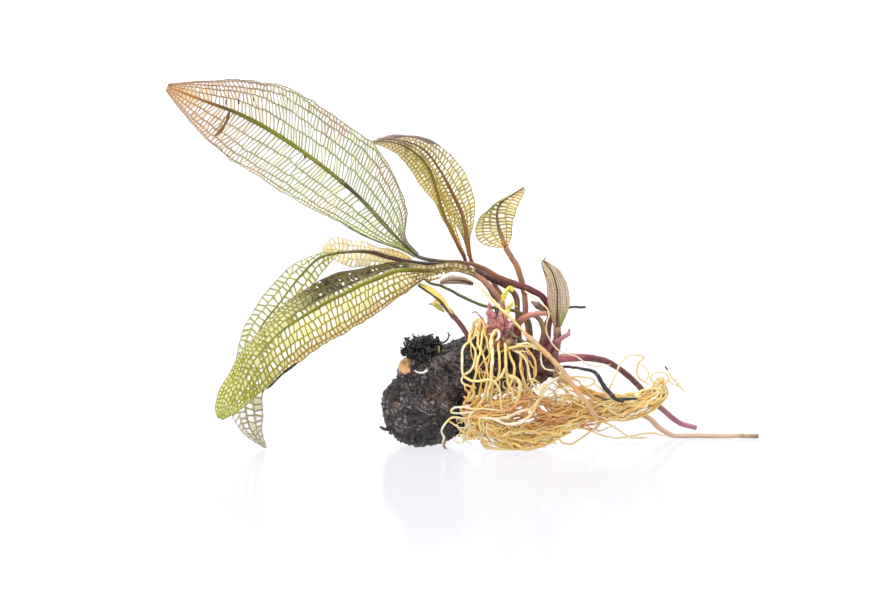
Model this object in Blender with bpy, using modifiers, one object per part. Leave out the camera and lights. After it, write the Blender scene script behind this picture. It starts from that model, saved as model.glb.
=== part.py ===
"""Madagascar lace plant, lifted out of the water and laid on a table.

A dark, knobbly rhizome rests on its flattened underside, and its crown is at the right end.
Stalks rise from the crown and arch to the left, each to a leaf that is only a net of veins.
Pale roots hang in front of the crown and trail along the table to the right.

The origin is on the table, under the middle of the rhizome. +X is right, +Y is away from the
front and +Z is up. Places and sizes are in millimetres, and become metres in the meshes.
"""
import math

import bmesh
import bpy
import numpy as np
from mathutils import Vector, noise

MM = 0.001
CROWN_GAP = 0.4
BLADE_THICKNESS = 0.7
STALK_START_GAP = 0.55
TUBE_STEP = 5.6
ROOT_STEP = 5.0
SHOOT_STEP = 2.5
NECK_STEP = 4.0
SOLID_HALF_WIDTH = 2.2
BLADE_END = 0.06
CROSS_VEIN = 0.26
MIDRIB_VEIN = 0.07
LONG_VEIN = {0: 0.0, 1: 0.16, 2: 0.12}

# Rhizome: three lobes and a neck that carries the crown
LOWER_LOBE = {"centre": (-2.0, 0.5, 13.5), "radii": (15.4, 14.5, 15.6), "rings": (22, 13)}
UPPER_LOBE = {"centre": (0.0, 1.0, 24.5), "radii": (12.2, 12.0, 11.8), "rings": (18, 11)}
RIGHT_LOBE = {"centre": (6.0, 1.0, 11.0), "radii": (9.5, 10.5, 10.0), "rings": (14, 8)}
NECK_PATH = [(3, 1, 24.5), (13, 1, 28), (24, 0.5, 27.5), (34, -0.5, 28), (42, -1.5, 29.5),
             (45.5, -2, 30)]
NECK_DIAMETERS = [17, 23, 21, 18, 14, 6]
KNOB_HEIGHT = 1.3
KNOB_SCALE = 6.5

# Each leaf: its midrib and two margins from base to tip, the windows across each half, and
# the rows of windows. lead is how far the cross veins run ahead at the two margins.
LEAVES = {
    "leaf_large": {
        "midrib": [(-4.5, 3, 66.5), (-13.5, 7, 74.5), (-25, 12, 86.5), (-38.5, 17, 97.5),
                   (-53, 20, 107.5), (-67.5, 21, 115.5), (-80.5, 20, 120.5), (-93, 17, 125.5)],
        "upper": [(-4, 2.5, 67.5), (-8.5, 2, 73), (-8, 4, 82.5), (-11.5, 8, 94), (-20, 12, 106),
                  (-33.5, 15.5, 115), (-49.5, 17.5, 125.5), (-65, 18, 128), (-80, 18.5, 127.5),
                  (-92.5, 17, 126.5)],
        "lower": [(-5.5, 3, 66), (-10, 4, 68.5), (-20.5, 6.5, 72), (-32, 9.5, 77.5), (-45.5, 13, 84),
                  (-59.5, 16, 92.5), (-72.5, 18, 100), (-85, 18.5, 112.5), (-93.5, 17, 124)],
        "across": 2, "rows": 12, "lead": (0.06, 0.03), "finish": "grey_green"},
    "leaf_front": {
        "midrib": [(0, -3.5, 62), (-10, -8, 62.5), (-18.5, -10, 60), (-27.5, -12, 56),
                   (-38.5, -14, 50.5), (-50, -16, 43), (-58.5, -18, 35), (-63.5, -19.5, 26.5),
                   (-67.5, -21, 18.5), (-71, -22, 13)],
        "upper": [(0, -2.5, 63.5), (-10, 1, 64.5), (-23.5, 0, 62.5), (-37.5, -2.5, 59), (-49, -5.5, 52),
                  (-58, -8.5, 43), (-65, -12, 35.5), (-69.5, -15, 27.5), (-73, -18.5, 21),
                  (-72.5, -21, 15.5), (-71.5, -22, 13.5)],
        "lower": [(0, -4, 60.5), (-8, -9.5, 55), (-17, -13, 49), (-26, -15.5, 43), (-40, -18, 35),
                  (-50, -20, 28), (-57, -21.5, 22), (-65.5, -22.5, 15.5), (-70.5, -22.5, 12.5)],
        "across": 2, "rows": 12, "lead": (0.0, 0.04), "finish": "olive_green"},
    "leaf_arching": {
        "midrib": [(-32, 0, 68), (-39, 0.5, 66), (-46, 1, 59), (-53.5, 1, 49), (-59, 0.5, 42),
                   (-62.5, -1, 32), (-64.5, -4, 22), (-64.5, -6, 14.5), (-62.5, -8, 7),
                   (-57.5, -8.5, 0.5)],
        "upper": [(-32, 1, 69), (-40.5, 4, 67), (-50.5, 5.5, 62), (-58.5, 5.5, 52.5), (-64, 5, 44.5),
                  (-68, 3, 33), (-70, 0, 22.5), (-70, -4, 12.5), (-65.5, -7, 5.5), (-58, -8.5, 0.5)],
        "lower": [(-32.5, -0.5, 67), (-37, -1, 62), (-42, -1.5, 55), (-46.5, -2, 47), (-52, -3, 39),
                  (-55.5, -4.5, 30), (-58, -6.5, 20.5), (-58, -8, 12), (-58.5, -8.5, 6.5),
                  (-57, -8.5, 0.5)],
        "across": 2, "rows": 8, "lead": (0.0, 0.0), "finish": "pale_green"},
    "leaf_pale": {
        "midrib": [(-6.5, 7, 64.5), (-14, 8.5, 65), (-23, 9.5, 67), (-30.5, 9.5, 68), (-38, 8.5, 68.5)],
        "upper": [(-6.5, 7.5, 65.5), (-11.5, 10, 68), (-18.5, 11, 69), (-22.5, 12.5, 71),
                  (-28.5, 13, 71.5), (-34.5, 12.5, 72.5), (-38, 9.5, 69.5)],
        "lower": [(-7, 7, 63.5), (-15, 7, 63), (-21, 7.5, 62.5), (-27.5, 7.5, 62), (-32.5, 7.5, 64),
                  (-37.5, 8, 67.5)],
        "across": 1, "rows": 5, "lead": (0.0, 0.0), "finish": "cream"},
    "leaf_gold_right": {
        "midrib": [(14, 8.5, 66), (13, 9.5, 72), (11.5, 10.5, 80), (7.5, 10.5, 89), (3, 9.5, 97),
                   (-2, 6.5, 103.5), (-9.5, 2.5, 107), (-18, -1.5, 107.5)],
        "upper": [(14.6, 8.7, 66.3), (14.1, 9.6, 72), (15.4, 10.4, 77.5), (16, 11.5, 84.5), (13.5, 12, 93),
                  (9, 12, 100), (3.5, 10, 105), (-4, 6.5, 108), (-12, 2.5, 109), (-18.5, -1.5, 108)],
        "lower": [(13.2, 8.3, 66.3), (11.8, 9, 72), (9, 8.4, 77.5), (5.5, 8, 83.5), (0.5, 7, 91),
                  (-5, 4.5, 98.5), (-11, 1.5, 103.5), (-18.5, -2, 107)],
        "across": 1, "rows": 9, "lead": (0.0, 0.0), "finish": "gold_brown"},
    "leaf_gold_left": {
        "midrib": [(12, 6.5, 66), (9.3, 5.6, 71), (6.9, 5.2, 76), (4.4, 5, 82.5), (2.3, 3.8, 89.5),
                   (0, 2, 96.3), (-3.6, 0, 101.5), (-9, -2.2, 105.3), (-15, -4.5, 107), (-19.5, -6.5, 107)],
        "upper": [(12.6, 6.7, 66.3), (10.3, 6.3, 72), (8.8, 6, 77), (8.3, 6, 83.5), (4.5, 5, 91.5),
                  (0, 3, 99), (-6.5, 0, 105), (-13.5, -3.5, 108), (-19.5, -6, 107.5)],
        "lower": [(11.4, 6.2, 65.9), (8.6, 5.2, 71.6), (6, 3.6, 76.8), (2, 0, 84.5), (-4, -2, 92.5),
                  (-9.5, -4.5, 100.5), (-14.5, -6, 104.5), (-19.5, -7, 106.5)],
        "across": 1, "rows": 9, "lead": (0.0, 0.0), "finish": "gold_brown"},
    "leaf_small": {
        "midrib": [(26.5, 4, 69.5), (25.2, 6, 73), (24.2, 8, 76), (23.7, 9, 79), (23.8, 9.3, 82),
                   (25.2, 9.5, 85), (28.6, 9.3, 87.4), (33, 8, 90)],
        "upper": [(27.3, 4, 69.5), (28.5, 4, 74), (29, 4, 78.5), (31, 4.5, 84), (33.4, 7.5, 89.5)],
        "lower": [(26, 3.5, 69.3), (21, 3, 69.7), (16.5, 4, 72), (16, 6, 76), (17.5, 7, 80),
                  (22.5, 8.5, 84), (28, 9, 87), (33, 8, 90.6)],
        "across": 1, "rows": 6, "lead": (0.0, 0.0), "finish": "tan_mauve"},
    "leaf_folded": {
        "midrib": [(44.5, -3, 42), (44.3, -3.5, 50.5), (44, -3.5, 56), (42.5, -3, 61.5),
                   (39.6, -2, 65.2)],
        "upper": [(45.8, -2.5, 42.2), (49, 0, 50.5), (48.5, 1, 55), (45.5, 0, 61.5), (40.2, -2, 65.3)],
        "lower": [(43.3, -3.5, 42.2), (41, -7, 51), (40.5, -8, 57.5), (39.5, -6, 62), (38.7, -3, 64.8)],
        "across": 0, "rows": 7, "lead": (0.0, 0.0), "finish": "tan_mauve"},
    "leaf_rolled": {
        "midrib": [(15, -6.5, 57.7), (10.5, -7.5, 59), (6.5, -7.5, 59), (3.5, -7, 58)],
        "upper": [(15, -6, 58.4), (10.5, -6.5, 60.3), (6.5, -6.5, 60.3), (3.5, -6.6, 58.7)],
        "lower": [(15, -7, 57.2), (10.5, -7, 57.7), (6.5, -7, 57.7), (3.5, -7, 57.4)],
        "across": 0, "rows": 5, "lead": (0.0, 0.0), "finish": "maroon"},
}

# Each stalk: its route from the leaf, or free end, to the crown, and its diameters on the way
STALKS = {
    "stalk_large": {
        "path": [(-4.5, 3, 66.5), (-1, 2, 65.5), (3.5, 1.5, 65), (12, 1, 64.5), (18, 1, 62.9),
                 (21, 1, 61.2), (24.5, 1, 59), (29, 0.5, 57.2), (35, 0, 55), (40, -0.5, 52), (42, -0.5, 47.5),
                 (41.5, -0.5, 41.5), (41, -1, 33)],
        "diameters": [1.4, 1.7, 2.3, 2.2, 2.5], "finish": "maroon"},
    "stalk_front": {
        "path": [(0, -3.5, 62), (7.5, -3.5, 63), (12, -4, 62), (17, -4.5, 60), (20.5, -4.8, 57),
                 (23.5, -4.5, 53.5), (25.5, -3.7, 49.5), (26, -2.4, 45), (26.4, -1.2, 40),
                 (26.5, 0, 34)],
        "diameters": [1.9, 1.7, 1.7, 2.2], "finish": "pink_brown"},
    "stalk_arching": {
        "path": [(-32, 0, 68), (-23, 1, 68.3), (-14, 3, 66), (-6.5, 3.7, 64.2), (0, 4, 63.6),
                 (6.5, 4.2, 63.4), (14, 4.6, 61.5), (21, 5.5, 58.5), (27.5, 7, 55), (30.5, 7.5, 51),
                 (31, 6.5, 46), (31.5, 4, 34)],
        "diameters": [1.1, 1.5, 1.8, 1.9, 2.0], "finish": "dark_brown"},
    "stalk_pale": {
        "path": [(-6.5, 7, 64.5), (-4, 6.5, 60.5), (-0.5, 5, 57), (3.5, 2.5, 56), (8.5, 0.5, 54),
                 (14.5, -1, 51), (20.5, -1, 49), (26, -1, 48.5), (31, -1, 47.3), (34, -0.5, 45),
                 (35.2, 0, 41), (35.5, 0, 34)],
        "diameters": [1.0, 1.0, 1.2, 1.5], "finish": "olive_green"},
    "stalk_gold_right": {
        "path": [(14, 8.5, 66), (15.2, 9.5, 63), (18.5, 10, 60.3), (22, 9.5, 57), (24.8, 8, 52.5),
                 (26, 6.5, 48), (26.8, 5, 43), (27.5, 3.5, 33)],
        "diameters": [1.3, 1.6, 1.8], "finish": "tan_brown"},
    "stalk_gold_left": {
        "path": [(12, 6.5, 66), (13.3, 7.3, 62.5), (16, 8, 59.8), (19, 8, 57), (21.5, 6.5, 53.5),
                 (23.3, 4, 49), (23.5, 2.5, 45), (23, 2, 33)],
        "diameters": [1.3, 1.6, 1.8], "finish": "maroon"},
    "stalk_small": {
        "path": [(26.5, 4, 69.5), (28.5, 4, 66), (31, 4, 62.5), (32.5, 4, 58.5), (33.3, 4, 54),
                 (33.5, 4, 49.5), (33.8, 3.8, 45.5), (34.6, 3.5, 41.5), (35.4, 3, 33)],
        "diameters": [1.5, 1.8, 1.9], "finish": "tan_brown"},
    "stalk_folded": {
        "path": [(44.5, -3, 42), (44.5, -3.5, 38.5), (43.5, -3.5, 33), (42, -3, 28)],
        "diameters": [2.6, 3.2, 3.2], "finish": "pink_brown"},
    "stalk_withered": {
        "path": [(-4, -2, 57), (3, -3.5, 52), (7.5, -4.5, 47), (12, -5, 41.5), (15, -4.5, 33)],
        "diameters": [1.4, 1.8, 1.8], "finish": "red_brown"},
    "stalk_broken": {
        "path": [(41.5, -7.5, 47.3), (38, -8.2, 47.6), (34.8, -8.2, 47), (32.5, -7.4, 45.8),
                 (31, -5.8, 44), (30.2, -3.8, 42), (29.4, -2.5, 39), (28.8, -1.5, 33)],
        "diameters": [1.5, 2.0, 2.2, 1.8, 1.6], "finish": "pink_brown"},
    "stalk_bent": {
        "path": [(34.5, -4, 46.6), (37, -4.6, 46), (39.2, -4.6, 43.5), (39.8, -4.6, 40.5), (39, -4.2, 37),
                 (37.5, -3.5, 32)],
        "diameters": [1.3, 1.9, 2.0, 1.8], "finish": "dark_brown"},
    "stub_dark": {
        "path": [(55, 8, 48), (49.5, 7.5, 48), (44.5, 6.5, 46.7), (41, 5, 43), (39, 3.5, 33)],
        "diameters": [0.9, 1.2, 1.3], "finish": "dark_brown"},
    "stub_pink": {
        "path": [(48.7, -7.5, 40.5), (45.5, -7, 38.7), (42, -5.5, 35.5), (40, -4, 30)],
        "diameters": [1.5, 1.9, 1.8], "finish": "pink_brown"},
    "stalk_cut": {
        "path": [(96.5, 27.5, 1.7), (90, 25.5, 4), (84, 21.5, 9), (77.5, 17, 15.5), (74, 14, 19.5),
                 (70.5, 11, 23), (66.5, 8, 26.5), (62.5, 5.5, 29), (57, 3, 30.5), (52.5, 0.5, 31),
                 (48.5, -1, 31), (42, -1.5, 30.5)],
        "diameters": [1.9, 2.1, 2.1, 2.3, 3.2], "finish": "maroon"},
    "stalk_black": {
        "path": [(67.5, -6.5, 16.5), (65, -7, 17.5), (62.5, -7.5, 20.5), (59.5, -8, 23.5),
                 (56.5, -8, 26), (52.5, -7, 28), (49, -5, 28), (44, -3, 28)],
        "diameters": [0.9, 1.3, 1.3, 1.5], "finish": "dark_brown"},
    "stalk_lying": {
        "path": [(117.5, 14, 0.9), (111, 14.3, 0.9), (100.5, 14.5, 0.8), (93, 14.8, 0.8), (87, 14.8, 1),
                 (82, 14, 4), (78, 13, 7.5), (72, 12, 10.5), (63.5, 10.5, 14), (54, 7.5, 18.5),
                 (46, 4, 22.5), (40, 2, 26)],
        "diameters": [1.4, 1.2, 1.2, 1.4, 1.6], "finish": "tan_brown"},
}

# Sheaths: old leaf bases at the crown, two of them with a young shoot
SHEATHS = {
    "sheath_left": {
        "path": [(21.5, -8.5, 50.5), (21.3, -7.2, 45), (21, -5, 40), (20.5, -2.5, 33)],
        "diameters": [1.6, 2.8, 3.0, 2.8],
        "shoot": None, "finish": "mauve"},
    "sheath_middle": {
        "path": [(24.6, -9, 51), (24.6, -7.8, 46), (24.5, -5.4, 40), (24, -2.5, 33)],
        "diameters": [1.6, 2.4, 2.6, 2.4],
        "shoot": [(24.6, -8.4, 48), (25.2, -9.2, 53), (27, -9.2, 57), (29, -8.8, 56.5)], "finish": "mauve"},
    "sheath_right": {
        "path": [(28.6, -9.5, 50), (28.6, -8.2, 45.5), (28.2, -5.7, 40), (27.5, -2.5, 33)],
        "diameters": [1.4, 2.4, 2.6, 2.4],
        "shoot": [(28.6, -8.6, 46.5), (27.5, -10.3, 49.5), (28.6, -10.8, 52), (31, -10.5, 52.7)],
        "finish": "mauve"},
}
SHOOT_DIAMETERS = [1.0, 1.2, 0.8]

# Root groups: each is a set of strands that meet, given from the crown to the free end
ROOTS = {
    "roots_hanging": {
        "strands": [
            [(14.5, -4, 33), (13.5, -11, 38), (11.5, -15, 35), (11, -18, 31), (12.5, -19, 27),
             (17, -19, 25.5), (21.5, -18.5, 24), (24, -17.5, 19), (25.5, -15, 11)],
            [(17, -4, 33), (16.5, -11.5, 38.5), (16.5, -15, 35), (16, -17.5, 30.5), (15.5, -18, 25.5),
             (15, -18, 21.5), (14, -18, 17), (15.5, -16, 12)],
            [(20, -4, 33), (19.5, -11.5, 39), (18.5, -15.5, 36), (19.5, -18, 31.5), (20.5, -20, 26.5),
             (20, -19, 20), (19.5, -16, 12)],
            [(22.5, -4, 33), (22.5, -11.5, 39), (21.5, -16, 36), (21.5, -19, 31), (21.5, -21, 25),
             (20.5, -20, 19), (20, -16, 12)],
            [(25.5, -4, 33), (25.5, -11.5, 38), (26, -14.5, 34.5), (25.5, -16.5, 30), (23.5, -18, 25),
             (23, -17, 18.5), (24, -15, 11)],
            [(28, -4, 33), (28, -11, 37), (30, -13.5, 33), (30.5, -16, 28), (30.5, -16, 22.5),
             (29.5, -15, 17.5), (28, -14, 11)],
            [(32, -4, 32), (32, -9.5, 35), (33.5, -12, 32), (35, -14, 27), (35.5, -13.5, 23),
             (34, -13, 18), (31.5, -13, 11.5)],
            [(12, -16, 16), (13.5, -16, 12.5), (16.5, -16, 11.5), (21, -16, 11), (26, -15, 10.5),
             (31, -13, 11.5), (36, -11.5, 14)],
            [(15, -16, 12), (11.5, -17, 15.5), (8.5, -17, 16), (7.5, -17, 14.5), (9, -17, 13),
             (15, -16, 12)],
            [(15, -16, 12), (9, -16, 12), (6.5, -16, 11), (4.5, -16, 8.5), (5, -14, 4), (5.5, -12, 1)],
            [(19.5, -16, 12), (19, -15, 9), (21, -13, 5), (25, -11.5, 1)],
            [(27.5, -15, 11), (28.5, -14, 7.5), (28.5, -11.3, 1)],
            [(19, -11.5, 3), (25, -11.2, 1), (31.5, -10.8, 1), (38.5, -8.5, 1.6), (45.5, -5, 3),
             (50, -1.5, 4)],
        ],
        "diameters": [1.7, 1.7, 1.5, 1.3], "finish": "root_cream"},
    "roots_trailing": {
        "strands": [
            [(40, -2, 27), (45, -7.5, 24), (49, -5.5, 19), (54, -3, 15), (60.5, 0, 11.5),
             (68.5, 2, 9.5), (76.5, 4, 11), (81.5, 5, 14), (84, 5, 17.5), (82.5, 5, 21.5)],
            [(40, -2, 27), (46, -7, 24.5), (51, -5, 23), (56.5, -3, 21.3), (62, -1, 19),
             (67.5, 2, 15.5), (74, 4, 16), (78.5, 5, 18.5), (80.5, 6, 21.5)],
            [(40, -2, 27), (44.5, -8, 23), (44, -9.5, 18), (46, -7, 12), (49.5, -4, 9.5), (56, -1, 7.5),
             (65, 2, 8), (72.5, 3, 10)],
            [(60, -1.5, 20), (64, 1, 23.5), (66, 2, 28.5), (69, 3, 31), (73.5, 4, 31), (73.5, 4, 28),
             (72.5, 4, 25), (74.5, 5, 19), (73, 4, 15.5)],
            [(46, -7, 12), (50, 0, 8), (57, 7, 4.2), (67.5, 10.5, 1.2), (77, 11, 1), (85.5, 11, 0.7)],
        ],
        "diameters": [2.2, 2.2, 1.8, 1.1], "finish": "root_cream"},
    "root_long": {
        "strands": [
            [(14, -8, 61.5), (21, -11.5, 54.5), (25, -13.3, 50), (29, -14, 45.5), (34, -13.5, 40),
             (41.5, -12.5, 33.5), (45.5, -12, 28.5), (50.5, -10.5, 21), (55, -9, 14.5)],
        ],
        "diameters": [0.8, 1.0, 1.2, 1.4], "finish": "root_cream"},
}

# Colour as linear red, green and blue, then roughness
FINISHES = {
    "grey_green": ((0.24, 0.28, 0.10), 0.55),
    "olive_green": ((0.25, 0.28, 0.04), 0.5),
    "pale_green": ((0.42, 0.45, 0.20), 0.55),
    "cream": ((0.78, 0.66, 0.40), 0.6),
    "gold_brown": ((0.40, 0.27, 0.07), 0.5),
    "tan_mauve": ((0.42, 0.26, 0.16), 0.5),
    "maroon": ((0.13, 0.035, 0.045), 0.4),
    "pink_brown": ((0.40, 0.15, 0.13), 0.45),
    "tan_brown": ((0.36, 0.19, 0.09), 0.5),
    "red_brown": ((0.28, 0.09, 0.05), 0.5),
    "dark_brown": ((0.06, 0.035, 0.03), 0.5),
    "mauve": ((0.45, 0.22, 0.24), 0.45),
    "root_cream": ((0.80, 0.58, 0.24), 0.6),
    "charcoal": ((0.025, 0.022, 0.024), 0.8),
}


def clear_scene():
    """Remove every object of the open scene."""
    for old in list(bpy.data.objects):
        bpy.data.objects.remove(old, do_unlink=True)


def make_collection(name):
    """A new collection in the scene."""
    collection = bpy.data.collections.new(name)
    bpy.context.scene.collection.children.link(collection)
    return collection


def make_material(name, finish):
    """A plain material in the finish's colour."""
    colour, roughness = FINISHES[finish]
    material = bpy.data.materials.new(name)
    material.use_nodes = True
    shader = material.node_tree.nodes["Principled BSDF"]
    shader.inputs["Base Color"].default_value = (*colour, 1.0)
    shader.inputs["Roughness"].default_value = roughness
    shader.inputs["Metallic"].default_value = 0.0
    return material


def add_object(name, mesh, collection, finish=None):
    """An object with this mesh, and with its own material where a finish is given."""
    piece = bpy.data.objects.new(name, mesh)
    collection.objects.link(piece)
    if finish:
        mesh.materials.clear()
        mesh.materials.append(make_material(name + "_finish", finish))
    return piece


def smooth_path(points, count):
    """Evenly spaced places on a smooth curve through the given points."""
    knots = np.array(points, dtype=float)
    steps = np.sqrt(np.linalg.norm(np.diff(knots, axis=0), axis=1))
    at = np.concatenate(([0.0], np.cumsum(steps)))
    slopes = np.gradient(knots, at, axis=0)
    fine = np.linspace(0.0, at[-1], 40 * len(knots))
    left = np.clip(np.searchsorted(at, fine, side="right") - 1, 0, len(at) - 2)
    span = at[left + 1] - at[left]
    t = ((fine - at[left]) / span)[:, None]
    span = span[:, None]
    curve = ((2 * t**3 - 3 * t**2 + 1) * knots[left] + (t**3 - 2 * t**2 + t) * span * slopes[left]
             + (3 * t**2 - 2 * t**3) * knots[left + 1] + (t**3 - t**2) * span * slopes[left + 1])
    lengths = np.concatenate(([0.0], np.cumsum(np.linalg.norm(np.diff(curve, axis=0), axis=1))))
    wanted = np.linspace(0.0, lengths[-1], count)
    return np.stack([np.interp(wanted, lengths, curve[:, axis]) for axis in range(3)], axis=1)


def path_length(points):
    """Length of the smooth curve through the points."""
    curve = smooth_path(points, 100)
    return float(np.linalg.norm(np.diff(curve, axis=0), axis=1).sum())


def evaluated_mesh(piece):
    """The mesh that the piece's modifiers or curve give, in world space."""
    bpy.context.view_layer.update()
    depsgraph = bpy.context.evaluated_depsgraph_get()
    mesh = bpy.data.meshes.new_from_object(piece.evaluated_get(depsgraph))
    mesh.transform(piece.matrix_world)
    return mesh


def weld(mesh):
    """Join points that lie on each other, such as those of a tube's end caps."""
    work = bmesh.new()
    work.from_mesh(mesh)
    bmesh.ops.remove_doubles(work, verts=work.verts, dist=0.00001)
    bmesh.ops.recalc_face_normals(work, faces=work.faces)
    work.to_mesh(mesh)
    work.free()


def tube(name, points, diameters, collection, sides_level=1, start_gap=0.0, step=TUBE_STEP):
    """A round tube along a smooth path, its diameters spread evenly from start to end."""
    count = max(5, int(round(path_length(points) / step)) + 1)
    route = smooth_path(points, count)
    if start_gap:
        first = route[1] - route[0]
        route[0] = route[0] + first / np.linalg.norm(first) * start_gap
    widths = np.interp(np.linspace(0, 1, count), np.linspace(0, 1, len(diameters)), diameters)
    curve = bpy.data.curves.new(name, "CURVE")
    curve.dimensions = "3D"
    curve.bevel_depth = MM / 2
    curve.bevel_resolution = sides_level
    curve.use_fill_caps = True
    spline = curve.splines.new("POLY")
    spline.points.add(count - 1)
    for point, place, width in zip(spline.points, route * MM, widths):
        point.co = (*place, 1.0)
        point.radius = width
    guide = bpy.data.objects.new(name + "_guide", curve)
    collection.objects.link(guide)
    mesh = evaluated_mesh(guide)
    mesh.name = name
    weld(mesh)
    bpy.data.objects.remove(guide)
    bpy.data.curves.remove(curve)
    return mesh


def apply_boolean(piece, other, operation):
    """Join the other object to the piece, or cut it away, and keep the result as the mesh."""
    change = piece.modifiers.new("shape", "BOOLEAN")
    change.operation = operation
    change.object = other
    change.solver = "EXACT"
    mesh = evaluated_mesh(piece)
    piece.modifiers.remove(change)
    old = piece.data
    piece.data = mesh
    mesh.name = old.name
    bpy.data.meshes.remove(old)


def shade(piece, degrees=40):
    """Shade a round piece smooth, with edges sharper than this left crisp."""
    piece.data.shade_smooth()
    piece.data.set_sharp_from_angle(angle=math.radians(degrees))


def rib_edges(across, rib, middle_rib):
    """Where the lengthwise veins start and stop across a blade, from -1 at one margin to 1."""
    half = [middle_rib]
    for k in range(1, across):
        half += [k / across - rib / 2, k / across + rib / 2]
    if across:
        half.append(1.0 - rib)
    half.append(1.0)
    return [-v for v in reversed(half)] + half


def row_edges(rows):
    """Where the cross veins start and stop along a blade, from 0 at its base to 1 at its tip."""
    pitch = (1 - 2 * BLADE_END) / rows
    levels = [0.0]
    for k in range(rows):
        low = BLADE_END + pitch * k
        levels += [low + pitch * CROSS_VEIN / 2, low + pitch * (1 - CROSS_VEIN / 2)]
    return levels + [1.0]


def blade_point(guides, u, v):
    """Place on a blade at u along it and v across it, arched through its midrib and margins."""
    places = []
    for guide in guides:
        steps = np.linspace(0, 1, len(guide))
        places.append(np.array([np.interp(u, steps, guide[:, axis]) for axis in range(3)]))
    middle, upper, lower = places
    return middle + v * (upper - lower) / 2 + v * v * ((upper + lower) / 2 - middle)


def blade(name, leaf, collection):
    """A leaf: a curved sheet with rows of windows between its veins, made solid."""
    guides = [smooth_path(leaf[key], 81) for key in ("midrib", "upper", "lower")]
    across = leaf["across"]
    rows = leaf["rows"]
    columns = rib_edges(across, LONG_VEIN[across], MIDRIB_VEIN)
    levels = row_edges(rows) if across else [k / rows for k in range(rows + 1)]
    work = bmesh.new()
    grid = []
    for u in levels:
        line = []
        for v in columns:
            lead = leaf["lead"][0] if v > 0 else leaf["lead"][1]
            u_here = min(1.0, max(0.0, u + 4 * u * (1 - u) * lead * abs(v)))
            line.append(work.verts.new(Vector(blade_point(guides, u_here, v)) * MM))
        grid.append(line)
    for row in range(len(levels) - 1):
        centre = (levels[row] + levels[row + 1]) / 2
        edges = [blade_point(guides, centre, v) for v in (-1, 0, 1)]
        for column in range(len(columns) - 1):
            v_middle = (columns[column] + columns[column + 1]) / 2
            side = edges[2] if v_middle > 0 else edges[0]
            wide = np.linalg.norm(side - edges[1]) > SOLID_HALF_WIDTH
            if across and wide and row % 2 == 1 and column % 2 == 1:
                continue
            near, far = grid[row], grid[row + 1]
            work.faces.new((near[column], near[column + 1], far[column + 1], far[column]))
    mesh = bpy.data.meshes.new(name)
    work.to_mesh(mesh)
    work.free()
    piece = add_object(name, mesh, collection, leaf["finish"])
    thicken = piece.modifiers.new("thickness", "SOLIDIFY")
    thicken.thickness = BLADE_THICKNESS * MM
    thicken.offset = 0.0
    return piece


def roughen(mesh):
    """Raise knobs on a shape of the rhizome, and press it flat where it is on the table."""
    normals = [Vector(corner.vector) for corner in mesh.vertex_normals]
    for vert, outward in zip(mesh.vertices, normals):
        place = vert.co / MM
        place += outward * noise.fractal(place / KNOB_SCALE, 0.8, 2.0, 3) * KNOB_HEIGHT
        place.z = max(place.z, 0.0)
        vert.co = place * MM
    mesh.update()


def lobe(name, shape, collection):
    """A knobbly ball of the rhizome."""
    work = bmesh.new()
    segments, rings = shape["rings"]
    bmesh.ops.create_uvsphere(work, u_segments=segments, v_segments=rings, radius=1.0)
    centre = Vector(shape["centre"])
    radii = Vector(shape["radii"])
    for vert in work.verts:
        vert.co = (centre + vert.co * radii) * MM
    mesh = bpy.data.meshes.new(name)
    work.to_mesh(mesh)
    work.free()
    roughen(mesh)
    return add_object(name, mesh, collection)


def rhizome(collection, cutters):
    """The rhizome, and its shape grown by the gap, which trims what grows from it."""
    body = lobe("rhizome", LOWER_LOBE, collection)
    body.data.materials.append(make_material("rhizome_finish", "charcoal"))
    top = lobe("upper_lobe", UPPER_LOBE, cutters)
    right = lobe("right_lobe", RIGHT_LOBE, cutters)
    neck_mesh = tube("neck", NECK_PATH, NECK_DIAMETERS, cutters, sides_level=4, step=NECK_STEP)
    roughen(neck_mesh)
    neck = add_object("neck", neck_mesh, cutters)
    for extra in (top, right, neck):
        apply_boolean(body, extra, "UNION")
        bpy.data.objects.remove(extra)
    shade(body)
    clearance = add_object("rhizome_clearance", body.data.copy(), cutters)
    clearance.data.materials.clear()
    grow = clearance.modifiers.new("gap", "DISPLACE")
    grow.strength = CROWN_GAP * MM
    grow.mid_level = 0.0
    clearance.hide_render = True
    clearance.display_type = "WIRE"
    return body, clearance


def stalk(name, shape, collection, cutters, clearance):
    """A stalk or sheath, trimmed where it enters the crown."""
    from_leaf = any(math.dist(shape["path"][0], leaf["midrib"][0]) < 0.01 for leaf in LEAVES.values())
    gap = STALK_START_GAP if from_leaf else 0.0
    mesh = tube(name, shape["path"], shape["diameters"], cutters, start_gap=gap)
    piece = add_object(name, mesh, collection, shape["finish"])
    if shape.get("shoot"):
        shoot_mesh = tube("shoot", shape["shoot"], SHOOT_DIAMETERS, cutters, step=SHOOT_STEP)
        shoot = add_object("shoot", shoot_mesh, cutters)
        apply_boolean(piece, shoot, "UNION")
        bpy.data.objects.remove(shoot)
    apply_boolean(piece, clearance, "DIFFERENCE")
    shade(piece)
    return piece


def root_group(name, shape, collection, cutters, clearance):
    """Strands that meet, joined in one solid and trimmed at the crown."""
    piece = None
    for number, strand in enumerate(shape["strands"]):
        mesh = tube(name, strand, shape["diameters"], cutters, step=ROOT_STEP)
        if piece is None:
            piece = add_object(name, mesh, collection, shape["finish"])
            continue
        other = add_object("strand_" + str(number), mesh, cutters)
        apply_boolean(piece, other, "UNION")
        bpy.data.objects.remove(other)
    apply_boolean(piece, clearance, "DIFFERENCE")
    shade(piece)
    return piece


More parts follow.
